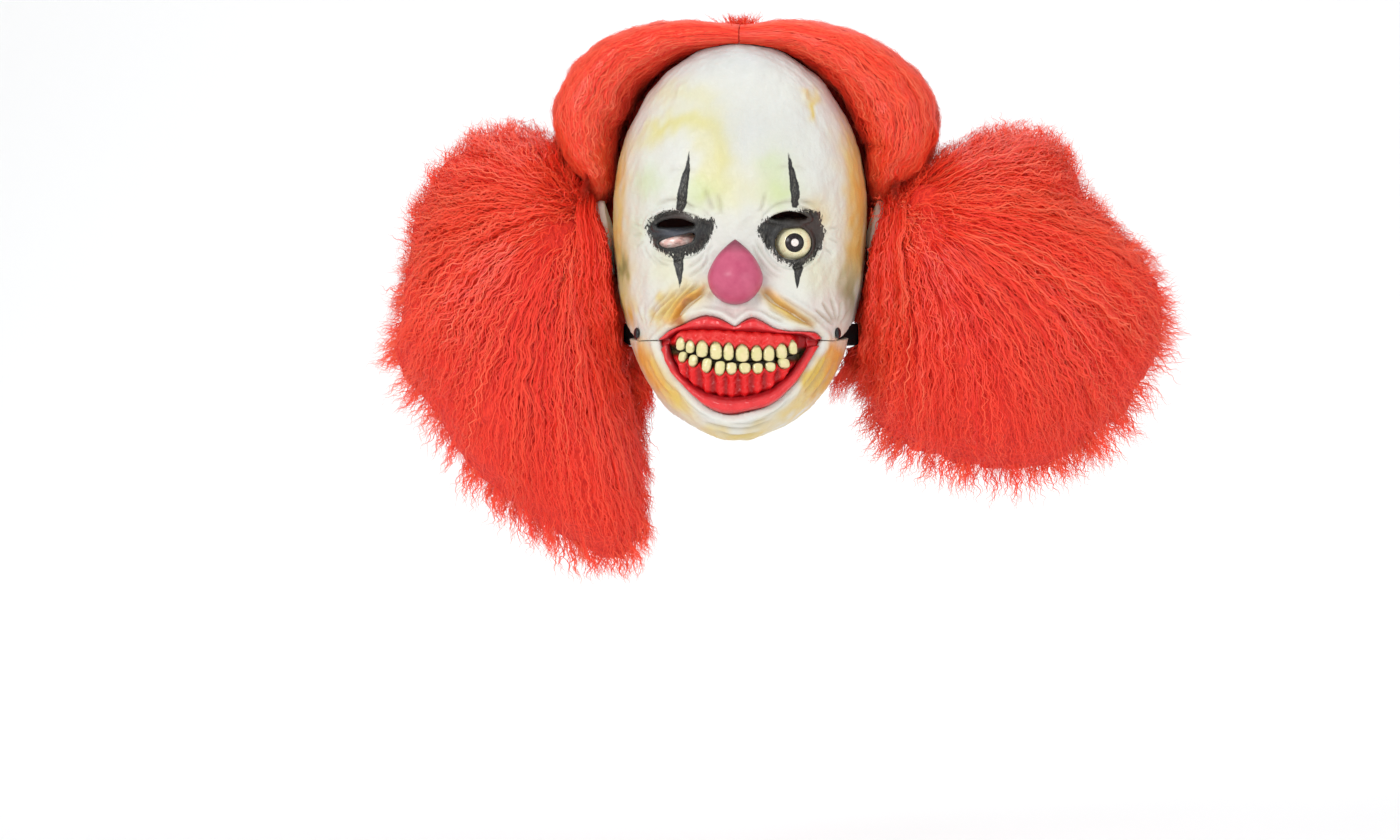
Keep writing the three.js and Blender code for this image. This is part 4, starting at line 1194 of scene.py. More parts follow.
def add_pole(outer, inner, faces, rows, columns, pole):
    """Closes the last row of a grid with one point at the head's pole."""
    tip = np.array(pole, float)
    sign = 1 if tip[2] > 0 else -1
    start = (rows - 1) * columns
    column = np.arange(columns - 1)
    centre = np.full(columns - 1, len(outer))
    fan = np.stack([start + column, start + column + 1, centre, np.full(columns - 1, -1)], 1)
    outer = np.concatenate([outer, [tip]])
    inner = np.concatenate([inner, [tip - (0, 0, sign * LATEX)]])
    return outer, inner, np.concatenate([faces, fan])


def latex_shells():
    """The face, closed at the crown, and the jaw, closed under the chin."""
    crown = (0, 0, BROW_Z + CROWN_RISE)
    face_levels = grid_levels(-0.6, 0.993, -80, 22, 0.95, 2.0)
    latex_shell("latex_face", "mask", "face_shell", face_levels, face_region, crown)
    jaw_levels = grid_levels(-0.999, -0.3, -140, -70, 0.95, 1.4)[::-1]
    latex_shell("latex_jaw", "jaw", "jaw_shell", jaw_levels, jaw_region, CHIN_POLE)


def paint_plain(piece, color):
    """Gives a piece in painted latex one plain wash and no black."""
    count = len(piece.data.vertices)
    none = np.zeros(count)
    wash = np.tile(color, (count, 1))
    give_values(piece, wash=wash, black=none + NO_BLACK, ragged=none, dry=none, ink=np.zeros((count, 3)))


# ------------------------------------------------------------------ lips, gums and teeth

LIP_COLUMNS = 150
# A lip's roll, from under the latex to the gum: share of its width, and height.
LIP_PROFILE = ([-0.12, 0, 0.07, 0.2, 0.42, 0.7, 0.88, 1], [-2.8, -1.6, -0.4, 0.5, 0.95, 0.9, 0.3, -1.0])
BITE_Z = -89.7
LIP_BACK = -3.3
GUM_BACK = -8.4
SHADE_SHEET_DEPTH = -9.2
SHADE_SHEET_THICKNESS = 1.2
SHADE_SHEET_Z = (-76, -106)
# Teeth: middle, width, height of the neck and of the biting edge, and lean in degrees.
UPPER_TEETH = [
    (-37.6, 6.4, -73.0, -81.4, 5), (-30.9, 6.2, -75.3, -83.4, 4), (-22.6, 8.3, -75.6, -86.2, 2),
    (-12.9, 8.5, -76.6, -87.8, -2), (-4.2, 7.3, -77.2, -88.4, 1), (5.2, 9.3, -78.4, -89.4, 0),
    (15.0, 7.6, -79.0, -89.0, -1), (23.4, 7.7, -79.2, -89.0, 1), (32.0, 7.6, -77.6, -87.4, -4),
    (39.6, 6.0, -75.6, -84.2, -6),
]
LOWER_TEETH = [
    (-36.2, 5.6, -89.0, -82.4, 8), (-28.9, 6.2, -92.2, -84.6, 6), (-19.4, 6.8, -96.4, -87.0, 7),
    (-10.2, 7.4, -98.2, -89.0, 4), (-2.2, 7.4, -97.6, -90.0, 0), (7.0, 8.2, -97.0, -90.2, -2),
    (15.8, 7.2, -97.0, -90.4, 1), (24.4, 7.2, -95.6, -89.8, -3), (33.6, 7.8, -93.4, -87.0, -9),
]
# A crown from root to edge: share of its height, and of its width or depth.
CROWN_WIDTH = (
    [0, 0.1, 0.2, 0.35, 0.55, 0.78, 0.9, 0.96, 1],
    [0.4, 0.6, 0.78, 0.94, 1, 0.97, 0.86, 0.68, 0.4],
)
CROWN_DEPTH = ([0, 0.1, 0.25, 0.5, 0.8, 0.95, 1], [0.2, 0.5, 0.9, 1.05, 0.86, 0.62, 0.35])
TOOTH_DEPTH = 4.2
TOOTH_SEAT = -0.3


def both_sides(values, used):
    """The values of a sheet's front, and 1 on its back."""
    return np.concatenate([values, np.ones_like(values)])[used]


def lip(name, body, outer_line, inner_line, fullness):
    """A lip as a closed roll between the latex edge and the gums."""
    rows = 22
    outer = resample(smooth_line(outer_line), LIP_COLUMNS)
    inner = resample(smooth_line(inner_line), LIP_COLUMNS)
    across = np.linspace(-0.12, 1, rows)[:, None]
    x = outer[:, 0] * (1 - across) + inner[:, 0] * across
    z = outer[:, 1] * (1 - across) + inner[:, 1] * across
    width = np.linalg.norm(outer - inner, axis=1)
    full = fullness * np.clip(width / 9, 0.3, 1.15)
    profile = np.interp(across[:, 0], *LIP_PROFILE)
    along = np.linspace(0, 1, LIP_COLUMNS)
    ends = np.clip(9 * np.minimum(along, 1 - along), 0, 1)
    front = profile[:, None] * np.where(profile[:, None] > 0, full * (0.25 + 0.75 * ends), 1.0)
    place = np.stack([x, 0 * x, z], -1)
    crease = waves(place * (1.0, 1, 0.25), 4.5, 31) * 0.30 + waves(place, 11, 32) * 0.35
    front = front + crease * np.clip(profile, 0, 1)[:, None]
    points, faces, _, used = head_slab(*front_place(x, z), front, LIP_BACK, grid_faces(rows, LIP_COLUMNS))
    piece = make_piece(f"painted_{name}", points, faces, ["lip_paint"], body, (name,))
    # The edges of the lip's roll, where it turns under, get painted shade.
    shade = np.repeat(np.clip(1 - profile, 0, 1), LIP_COLUMNS)
    give_values(piece, crevice=both_sides(shade, used))


def neck_line(x, teeth, reach):
    """Height of the gum's edge: arched over each tooth, and a point between two of them."""
    places = np.array([t[0] for t in teeth])
    necks = np.array([t[2] for t in teeth])
    rounds = np.array([t[1] for t in teeth]) * 0.5
    nearest = np.abs(x[..., None] - places).argmin(-1)
    share = np.clip(np.abs(x - places[nearest]) / rounds[nearest], 0, 1.3)
    return np.interp(x, places, necks) + reach * share**2


def gum(name, body, side, x_ends, lip_line, teeth):
    """A gum sheet with root ridges and scalloped edges; side is 1 for the upper gum and -1 for the lower."""
    rows, columns = 64, 190
    x = np.linspace(*x_ends, columns)
    line = smooth_line(lip_line)
    outer_z = np.interp(x, line[:, 0], line[:, 1]) + side * 2.5
    bite = BITE_Z + np.where(x < 0, 7.0, 4.4) * (x / 40) ** 2 + side * GAP
    bite = np.where(side * (outer_z - bite) > 1.5, bite, outer_z - side * 1.5)
    share = np.linspace(0, 1, rows)[:, None]
    z = outer_z * (1 - share) + bite * share
    x = np.broadcast_to(x, z.shape)
    neck = neck_line(x, teeth, -side * 2.6)
    inside = side * (z - neck)
    on_gum = 1 / (1 + np.exp(-inside / 0.55))
    places = np.array([t[0] for t in teeth])
    gap = np.abs(x[..., None] - places).min(-1)
    ridge = np.cos(np.clip(gap / 4.3, 0, 1) * math.pi) * (0.55 if side > 0 else 1.0)
    roll = 1.2 * np.exp(-(((inside - 2.4) / 2.2) ** 2))
    place = np.stack([x, 0 * x, z], -1)
    flesh = 0.9 + ridge * np.clip(inside / 5, 0, 1) + roll
    flesh = flesh + 0.35 * waves(place, 6, 41) + 0.2 * waves(place, 2.6, 42)
    flesh = flesh - 3.2 * np.exp(-((side * (outer_z - z) - 2.0) / 2.2) ** 2)
    hollow = np.clip((np.abs(x + 1.5) - 38) / 10, 0, 1)
    front = (flesh * on_gum - 4.6 * (1 - on_gum)) * (1 - hollow) - 5.0 * hollow
    points, faces, _, used = head_slab(*front_place(x, z), front, GUM_BACK, grid_faces(rows, columns))
    piece = make_piece(f"painted_{name}", points, faces, ["gum_paint"], body, (name,))
    # The gum sheet behind and between the teeth, and a thin band at its edge against them, is coloured
    # nearly black: painted shade.
    dark = np.clip(1 - on_gum + 0.15 * np.exp(-((inside / 1.0) ** 2)), 0, 1).ravel()
    # Deeper red in the grooves between the root ridges, in the hollow corners of the mouth and under the
    # lip's edge: painted shade. The lower gum also starts from a deeper red.
    grooves = np.clip(0.5 - 0.5 * ridge, 0, 1) * np.clip(inside / 4, 0, 1) * (0.4 if side > 0 else 1.0)
    rim = np.exp(-((side * (outer_z - z) - 1.5) / 2.0) ** 2)
    depth = 0.1 if side > 0 else 0.45
    red = np.clip(depth + 0.55 * grooves + 0.9 * hollow + 0.6 * rim, 0, 1).ravel()
    give_values(piece, between=both_sides(dark, used), crevice=both_sides(red, used))


def tooth(name, body, place, width, neck_z, edge_z, lean):
    """One crown with a rounded neck under the gum, a full belly and a thin worn edge."""
    sides = 28
    rise = 1 if neck_z > edge_z else -1
    top = neck_z + rise * 1.3
    level, turn = front_place(place, (neck_z + edge_z) / 2)
    seat = head_points(level, turn, TOOTH_SEAT) * (1, 1, 0)
    along = head_points(level, turn + 0.02) - head_points(level, turn - 0.02)
    along = along * (1, 1, 0) / np.hypot(along[0], along[1])
    out = np.array([along[1], -along[0], 0])
    part = np.linspace(0, 1, 22)
    half = np.interp(part, *CROWN_WIDTH)
    thick = np.interp(part, *CROWN_DEPTH)
    around = circle(sides)
    sideways = 0.5 * width / along[0] * shaped(np.cos(around), 0.72)
    outwards = 0.5 * TOOTH_DEPTH * shaped(np.sin(around), 0.8)
    height = top + (edge_z - top) * part
    slant = math.tan(math.radians(lean)) * (height - 0.5 * (neck_z + edge_z))
    rings = (
        seat
        + along * (half[:, None, None] * sideways[None, :, None] + slant[:, None, None])
        + out * thick[:, None, None] * outwards[None, :, None]
        + np.array([0, 0, 1]) * height[:, None, None]
    )
    rings = rings + 0.10 * waves(rings, 3.2, 51)[..., None] * out
    tip = seat + along * slant[-1] + (0, 0, edge_z - rise * 0.15)
    points, faces = closed_rings(rings, seat + (0, 0, top), tip)
    piece = make_piece(name, points, faces, ["tooth_paint"], body, (name[7:],))
    rim = np.abs(np.cos(around)) ** 2.4 * 0.8
    necks = np.exp(-(((part - 0.06) / 0.13) ** 2)) + 0.4 * np.clip((part - 0.9) / 0.1, 0, 1)
    stain = np.clip(rim[None, :] + necks[:, None] * 0.8, 0, 1).ravel()
    give_values(piece, stain=np.concatenate([stain, [1, 0.5]]))


def mouth_shade_sheet():
    """A sheet behind both gums, coloured near black as painted shade for the back of the mouth. It leans
    back, out of the way of the moving gum.
    """
    across, z = np.meshgrid(np.linspace(-1, 1, 100), np.linspace(*SHADE_SHEET_Z, 28))
    x = 1.5 + across * (60.5 - 1.5 * np.maximum(BITE_Z - z, 0))
    depth = SHADE_SHEET_DEPTH - 0.4 * (SHADE_SHEET_Z[0] - z)
    rear = depth - SHADE_SHEET_THICKNESS
    points, faces, _, _ = head_slab(*front_place(x, z), depth, rear, grid_faces(*x.shape))
    piece = make_piece("mouth_shade_sheet", points, faces, ["gum_paint"], "mask")
    # Both values at 1: nearly black all over, painted shade.
    give_values(piece, between=np.ones(len(points)), crevice=np.ones(len(points)))


def mouth():
    """A near black sheet of painted shade behind the mouth, both lips, both gums and nineteen teeth."""
    mouth_shade_sheet()
    lip("upper_lip", "mask", MOUTH_TOP, LIP_TOP_INNER, 3.2)
    lip("lower_lip", "jaw", MOUTH_LOW, LIP_LOW_INNER, 3.8)
    gum("upper_gum", "mask", 1, (-50.5, 54.5), LIP_TOP_INNER, UPPER_TEETH)
    gum("lower_gum", "jaw", -1, (-48.5, 52.5), LIP_LOW_INNER, LOWER_TEETH)
    for row, body, teeth in (("upper", "mask", UPPER_TEETH), ("lower", "jaw", LOWER_TEETH)):
        for number, shape in enumerate(teeth, 1):
            tooth(f"enamel_{row}_tooth_{number}", body, *shape)


# ------------------------------------------------------------------ nose and eyes

NOSE_RADIUS = 19
NOSE_Z = (-50, -5)
NOSE_Y = -103
GAZE = math.radians(9)
IRIS_RADIUS = 6.6
# The pupil: radius, and height over the iris.
PUPIL_PROFILE = [(0, 0.75), (1.2, 0.66), (2.1, 0.36), (2.6, -0.02), (2.8, -0.5), (0, -0.6)]
SQUINT_PLACE = (-40, -6)
SQUINT_RADII = (15, 12, 8)


def turn_about_z(angle):
    """The matrix of a turn about +Z."""
    cosine, sine = math.cos(angle), math.sin(angle)
    return np.array([[cosine, -sine, 0], [sine, cosine, 0], [0, 0, 1]])


def lathe(name, profile, look_name, replaced, turn, place, sides=56):
    """A round body about -Y through (radius, height) points, then turned and placed on the mask."""
    profile = np.asarray(profile, float)
    around = circle(sides)
    radius, height = profile[1:-1, :1], np.repeat(profile[1:-1, 1:], sides, 1)
    rings = np.stack([radius * np.cos(around), -height, radius * np.sin(around)], -1)
    start, end = ((0, -profile[row, 1], 0) for row in (0, -1))
    points, faces = closed_rings(rings, start, end)
    points = points @ np.asarray(turn).T + place
    return make_piece(name, points, faces, [look_name], "mask", (replaced,))


def nose():
    """A drop with a pointed top, flat where it sits on the latex."""
    low, high = NOSE_Z
    bulb_z = low + NOSE_RADIUS
    angle = np.radians(np.linspace(-88, 0, 26))
    part = np.linspace(0, 0.985, 30)[1:]
    height = np.concatenate([bulb_z + NOSE_RADIUS * np.sin(angle), bulb_z + (high - bulb_z) * part])
    radius = np.concatenate([NOSE_RADIUS * np.cos(angle), NOSE_RADIUS * (1 - part**1.7) ** 0.9])
    around = circle(72)
    x, y = radius[:, None] * np.sin(around), NOSE_Y - radius[:, None] * np.cos(around)
    rings = np.stack([x, y, height[:, None] + 0 * x], -1)
    points, faces = closed_rings(rings, (0, NOSE_Y, low), (0, NOSE_Y, high))
    middle = np.array([0, NOSE_Y, 0])
    points = points + (points - middle) * (1, 1, 0) * 0.012 * waves(points, 21, 61)[:, None]
    surface = front_points(points[:, 0], points[:, 2])[:, 1]
    points[:, 1] = np.minimum(points[:, 1], surface + 0.6)
    piece = make_piece("clown_nose", points, faces, ["nose_paint"], "mask", ("nose",))
    stand = np.clip((surface - points[:, 1]) / 14, 0, 1)
    tip = np.clip((points[:, 2] + 16) / 10, 0, 1)
    give_values(piece, shade=np.clip(1 - stand**0.6 + 0.7 * tip, 0, 1))


def eyes():
    """The bulging eyeball with its iris and pupil, and the ball that squints."""
    depth = front_points(*np.transpose([BALL_PLACE, SQUINT_PLACE]))[:, 1]
    ball = (BALL_PLACE[0], depth[0] + 4.3, BALL_PLACE[1])
    turn = turn_about_z(GAZE)
    start = math.asin(IRIS_RADIUS / BALL_RADIUS)
    seat = BALL_RADIUS * math.cos(start)
    angles = np.linspace(start, math.pi, 44)
    profile = [(0, seat), (IRIS_RADIUS / 2, seat)]
    profile += [(BALL_RADIUS * math.sin(a), BALL_RADIUS * math.cos(a)) for a in angles[:-1]]
    profile.append((0, -BALL_RADIUS))
    lathe("bulging_eye", profile, "eye_paint", "bulging_eyeball", turn, ball, 64)
    dome = BALL_RADIUS + 0.25
    profile = [(r, math.sqrt(dome**2 - r * r)) for r in np.linspace(0, 0.985 * IRIS_RADIUS, 14)]
    profile += [(IRIS_RADIUS, seat + 0.1), (IRIS_RADIUS * 0.9, seat + 0.02), (0, seat + 0.02)]
    iris = lathe("iris", profile, "iris_paint", "eyeball_iris", turn, ball)
    away = np.array([vertex.co for vertex in iris.data.vertices]) / MM - ball
    radius = np.hypot(away[:, 0] / math.cos(GAZE), away[:, 2])
    give_values(iris, outer=np.clip((radius - 4.6) / 2, 0, 1))
    profile = [(radius, dome + rise) for radius, rise in PUPIL_PROFILE]
    lathe("pupil", profile, "pupil_paint", "eyeball_pupil", turn, ball, 40)
    profile = [(math.sin(a), math.cos(a)) for a in np.linspace(0, math.pi, 40)]
    squint = (SQUINT_PLACE[0], depth[1] + 9, SQUINT_PLACE[1])
    stretch = np.diag(SQUINT_RADII)
    lathe("squint_eye", profile, "squint_paint", "squint_eyeball", stretch, squint)


# ------------------------------------------------------------------ ears, cap, strap, studs, ties and pads

SIDES = ((-1, "left"), (1, "right"))
EAR_PLACE = (95, 2, 0)
EAR_RADII = (7, 15, 27)
EAR_TILT = math.radians(8)
# The ear from its hollow to its rim: share of its radius, and height.
EAR_PROFILE = ([0, 0.35, 0.52, 0.66, 0.78, 0.86, 0.93, 0.98, 1], [-0.5, 0.2, 2.2, 1.2, 3, 6.2, 6.6, 4.2, 1])
# The strap from one stud to the nape, seen from above.
STRAP_HALF = [
    (56.4, -68.4), (60.1, -58.3), (64.1, -48), (66.6, -34), (67.4, -20), (69.8, -9.5), (78, 2),
    (83, 16), (81, 45), (66, 74), (38, 93),
]
STRAP_SIZE = (1.5, 15)
STRAP_LEAN = 0.3
STRAP_Z = -68.5
STUD_PROFILE = [
    (0, -13.2), (4, -13.2), (4, -12), (2, -12), (2, 0.9), (3.9, 0.9), (4, 1.3), (3.8, 1.8), (3.1, 2.4),
    (2, 2.85), (0, 3.1),
]
TIE_PLACE = (107, 32, 16)
TIE_RADII = (13, 3)
TIE_TURN = math.radians(55)
# Foam pads: name, body, node, half width, lowest and highest place, and rear face.
PADS = [
    ("brow_foam", "mask", "forehead_pad", 36, 44, 84, -74),
    ("chin_foam", "jaw", "chin_pad", 24, -134, -118, -76),
]


def ear(side, name):
    """An ear with a rolled rim and a hollow, its flat side on the head."""
    around = circle(72)
    reach = np.concatenate([np.linspace(0.04, 1, 30), np.linspace(0.97, 0.1, 12)])
    rim = np.interp(reach[:30], *EAR_PROFILE)
    depth = np.concatenate([rim, np.linspace(-2, -6, 12)])
    y = -EAR_RADII[1] * reach[:, None] * np.cos(around) * (1 - 0.16 * np.sin(around))
    z = EAR_RADII[2] * reach[:, None] * np.sin(around)
    lobe_low = np.clip(-z / 20, 0, 1)
    x = depth[:, None] * (1 - 0.35 * lobe_low) + 0.25 * waves(np.stack([0 * y, y, z], -1), 9, 71)
    out = x * math.cos(EAR_TILT) + z * math.sin(EAR_TILT)
    up = z * math.cos(EAR_TILT) - x * math.sin(EAR_TILT)
    rings = np.stack([side * (EAR_PLACE[0] + out), EAR_PLACE[1] + y, EAR_PLACE[2] + up], -1)
    points, faces = closed_rings(rings, rings[0].mean(0), rings[-1].mean(0))
    looks = ["painted_latex"]
    piece = make_piece(f"latex_ear_{name}", points, faces, looks, "mask", (f"ear_{name}",))
    paint_plain(piece, (0.86, 0.78, 0.72))


def wig_cap():
    """The knitted cap that the hair is sewn to."""
    levels = even_levels(-0.6, 0.97, 4)
    turns = np.linspace(0.9, 2 * math.pi - 0.9, 150)
    level, turn, away = snap_to_edge(levels, turns, cap_region)
    points, faces, _, _ = head_slab(level, turn, -0.1, -LATEX, region_faces(away))
    make_piece("cap_mesh", points, faces, ["cap_knit"], "mask", ("wig_cap",))


def nape_strap():
    """A woven band from stud to stud, round the nape."""
    half = np.array(STRAP_HALF)
    route = np.concatenate([half, [(0, 99)], half[::-1] * (-1, 1)])
    line = resample(smooth_line(route, 12), 260)
    along = np.gradient(line, axis=0)
    along /= np.linalg.norm(along, axis=1, keepdims=True)
    out = np.stack([along[:, 1], -along[:, 0]], 1)
    lean = STRAP_LEAN * np.clip((-line[:, 1] + 10) / 30, 0, 1)
    around = circle(40)
    across = 0.5 * STRAP_SIZE[0] * shaped(np.cos(around), 0.35)
    up = 0.5 * STRAP_SIZE[1] * shaped(np.sin(around), 0.35)
    offset = across[None, :] + up[None, :] * lean[:, None]
    rings = np.stack([
        line[:, None, 0] + out[:, None, 0] * offset, line[:, None, 1] + out[:, None, 1] * offset,
        STRAP_Z + up[None, :] + 0 * offset,
    ], -1)
    points, faces = closed_rings(rings, rings[0].mean(0), rings[-1].mean(0))
    make_piece("elastic_strap", points, faces, ["elastic_weave"], "mask", ("nape_strap",))


def studs():
    """The two studs that the jaw turns on."""
    for side, name in SIDES:
        turn = turn_about_z(side * (math.pi / 2 - PIVOT_TURN))
        place = PIVOT * (side, 1, 1)
        node = f"stud_{name}"
        lathe(f"black_{node}", STUD_PROFILE, "stud_lacquer", node, turn, place, 32)


def hair_ties():
    """Coiled elastic: a ring whose cord is ribbed."""
    rows, columns = 96, 20
    around, ring = np.meshgrid(circle(rows), circle(columns), indexing="ij")
    cord = TIE_RADII[1] - 0.25 + 0.25 * np.cos(30 * around + ring)
    reach = TIE_RADII[0] + cord * np.cos(ring)
    x, y, z = reach * np.cos(around), reach * np.sin(around), cord * np.sin(ring)
    column = np.arange(columns)
    last = (rows - 1) * columns
    close = np.stack([last + column, last + (column + 1) % columns, (column + 1) % columns, column], 1)
    ring_faces = np.concatenate([grid_faces(rows, columns, wrap=True), close])
    for side, name in SIDES:
        turn = side * TIE_TURN
        across = x * math.cos(turn) + z * math.sin(turn)
        up = z * math.cos(turn) - x * math.sin(turn)
        points = np.stack([across, y, up], -1).reshape(-1, 3) + np.array(TIE_PLACE) * (side, 1, 1)
        faces = facing_out(points, ring_faces)
        node = f"hair_tie_{name}"
        make_piece(f"elastic_{node}", points, faces, ["elastic_weave"], "mask", (node,))


def foam_pad(name, body, node, half_width, low, high, rear_y):
    """A pad that fills the space between the latex and a flat rear face, with rounded corners."""
    rows, columns = 30, 50
    u, v = np.meshgrid(np.linspace(-1, 1, rows), np.linspace(-1, 1, columns), indexing="ij")
    squeeze = 1 - 0.06 * (np.abs(u) * np.abs(v)) ** 3
    x = half_width * v * squeeze
    z = 0.5 * (low + high) + 0.5 * (high - low) * u * squeeze
    front = front_points(x, z, -LATEX - 0.2)
    edge = np.maximum(np.abs(u), np.abs(v)) ** 14
    rear = np.stack([x, rear_y - 1.6 * edge + 0.15 * waves(np.stack([x, 0 * x, z], -1), 4, 81), z], -1)
    rear[..., 1] = np.maximum(rear[..., 1], front[..., 1] + 0.5)
    points, faces, _, _ = close_shell(front.reshape(-1, 3), rear.reshape(-1, 3), grid_faces(rows, columns))
    piece = make_piece(name, points, faces, ["pad_foam"], body, (node,))


WEB = {"left": (-64.5, -49), "right": (52, 66.5)}
WEB_Z = (-66, -82)
MOUTH_HALF_WIDTH = 57.5


def cheek_webs():
    """The fold of latex behind the cut at each mouth corner."""
    for name, ends in WEB.items():
        x, z = np.meshgrid(np.linspace(*ends, 30), np.linspace(*WEB_Z, 30))
        fold = -0.5 * np.cos((z - JAW_SPLIT_Z) * 0.8) * (np.abs(z - JAW_SPLIT_Z) < 5.9)
        place = front_place(x, z)
        points, faces, _, _ = head_slab(*place, fold - 3.9, fold - 5.1, grid_faces(*x.shape))
        centres = points[np.where(faces < 0, faces[:, :1], faces)].mean(1)
        in_mouth = np.abs(centres[:, 0] - 2) < MOUTH_HALF_WIDTH
        looks = ["bare_latex", "lip_paint"]
        piece = make_piece(f"cheek_web_{name}", points, faces, looks, None, (), in_mouth)
        # The red faces inside the mouth get a middle amount of painted shade.
        give_values(piece, crevice=np.full(len(points), 0.45))
        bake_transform(piece)


def jaw_tabs():
    """The jaw's two tabs inside the face, which the studs go through."""
    def region(points):
        y, z = points[..., 1], points[..., 2]
        return np.maximum(np.abs(y + 62) - 9, np.abs(z + 73) - 11)
    for side, name in SIDES:
        turns = np.sort(side * np.linspace(0.55, 1.5, 60))
        level, turn, away = snap_to_edge(even_levels(-0.5, -0.2, 1.2), turns, region)
        z = plain_head(level, turn)[..., 2]
        depth = np.where(z > JAW_SPLIT_Z - 1.2, -4.3, -2.8)
        points, faces, _, _ = head_slab(level, turn, depth, -6.2, region_faces(away))
        make_piece(f"jaw_tab_{name}", points, faces, ["bare_latex"], "jaw")


# ------------------------------------------------------------------ hair

LOBE_RIGHT = [
    (0.4, 141, 9.5, 36, 6), (42, 140, 14, 50, 14), (82, 122, 22, 60, 20), (108, 92, 29, 62, 20),
    (111, 64, 25, 54, 18), (102, 40, 13, 36, 18), (104, 22, 5, 18, 26),
]
LOBE_LEFT = [
    (-0.4, 141, 9.5, 36, 6), (-46, 140, 14, 50, 14), (-86, 122, 22, 60, 20), (-106, 94, 26, 62, 20),
    (-108, 68, 21, 54, 18), (-101, 42, 12, 36, 18), (-104, 22, 5, 18, 26),
]
PUFF_RIGHT = [
    (102, 32), (142, 60), (181, 76), (222, 73), (246, 34), (274, 0), (298, -24), (304, -66),
    (290, -104), (262, -138), (214, -166), (172, -168), (112, -150), (88, -120), (84, -60), (92, -10),
]
PUFF_LEFT = [
    (-102, 30), (-122, 58), (-150, 78), (-184, 78), (-213, 56), (-234, 20), (-244, -30), (-250, -84),
    (-224, -124), (-192, -168), (-146, -208), (-92, -234), (-70, -214), (-70, -150), (-78, -90),
    (-92, -10),
]
PUFF_CENTRES = {-1: (-160, -50), 1: (180, -45)}
PUFF_MIDDLE_Y = 22
PUFF_HALF_DEPTH = 68
PUFF_REACH = 120
PUFF_ROUNDNESS = 0.7
# The seed of every random draw, and the number of strands in each part of the wig.
HAIR_SEED = 7
TOP_STRANDS = 3000
BUNCH_STRANDS = 9000
FRONT_LOCK_STRANDS = 1200
REAR_LOCK_STRANDS = 1000
WISP_STRANDS = 2400
TUFT_STRANDS = 420
BACK_STRANDS = 2800
# The two widths of a strand.
FINE, COARSE = 0.6, 0.95
EDGE_POINTS = 400
CORE_SHARE = 0.93
CLEAR = 3.0
STRAND_POINTS = 32
STRANDS_PER_PIECE = 3000
FRIZZ = 0.40
JAW_ROOM = 84
FORWARDS = np.array([0.0, -1.0, 0.0])


def keep_clear(points, lift):
    """Moves hair out of the head and out of the room beside the moving jaw."""
    levels = np.linspace(-1, 0, 200)
    z_at, half_at, front_at, centre_at, rear_at = head_section(levels)
    x, y, z = np.moveaxis(points, -1, 0)
    half, front, centre, rear = (np.interp(z, z_at, row) for row in (half_at, front_at, centre_at, rear_at))
    away = y - centre
    reach = np.where(away < 0, centre - front, rear - centre) + lift
    rise = np.maximum(z - BROW_Z, 0) / (CROWN_RISE + lift)
    inside = np.sqrt((x / (half + lift)) ** 2 + (away / reach) ** 2 + rise**2)
    push = np.where((inside < 1) & (z > -141), 1 / np.maximum(inside, 0.05), 1)
    x, y = x * push, centre + away * push
    z = np.where(z > BROW_Z, BROW_Z + (z - BROW_Z) * push, z)
    for side, low, high, rear in ((JAW_ROOM, -78, -59.5, 60), (JAW_ROOM - 6, -112, -78, 0)):
        room = (np.abs(x) < side) & (z > low) & (z <= high) & (y > -80) & (y < rear)
        x = np.where(room, np.sign(x) * side, x)
    return np.stack([x, y, z], -1)


def strands(name, paths, facing, width, shade, random):
    """Fine tapering ribbons along the paths, in pieces; shade picks each strand's red, from 0, the darkest,
    to 1, the lightest.
    """
    count = len(paths)
    run = np.linspace(0, 1, STRAND_POINTS)
    along = np.gradient(paths, axis=1)
    side = np.cross(along, facing)
    side /= np.maximum(np.linalg.norm(side, axis=2, keepdims=True), 1e-9)
    taper = np.minimum(1, 6 * run + 0.35) * np.minimum(1, 2.6 * (1 - run) + 0.06)
    half = 0.5 * width * random.uniform(0.7, 1.3, (count, 1)) * taper
    edges = np.stack([paths - side * half[..., None], paths + side * half[..., None]], 2)
    # Each strand lightens towards its tip: painted shade at the roots and painted light at the ends; strands
    # also differ at random.
    tones = shade[:, None] + 0.30 * (run - 0.45) + random.normal(0, 0.10, (count, 1))
    tones = np.clip(np.round(tones[:, 1:] * (len(HAIR_REDS_SHADED_TO_LIT) - 1)), 0, len(HAIR_REDS_SHADED_TO_LIT) - 1).astype(int)
    for number, start in enumerate(range(0, count, STRANDS_PER_PIECE), 1):
        part = edges[start : start + STRANDS_PER_PIECE]
        first = np.arange(len(part))[:, None] * STRAND_POINTS * 2 + 2 * np.arange(STRAND_POINTS - 1)[None, :]
        faces = np.stack([first, first + 1, first + 3, first + 2], -1).reshape(-1, 4)
        make_piece(f"{name}_{number}", part.reshape(-1, 3), faces, STRAND_LOOKS, "mask",
                   face_materials=tones[start : start + STRANDS_PER_PIECE].ravel())


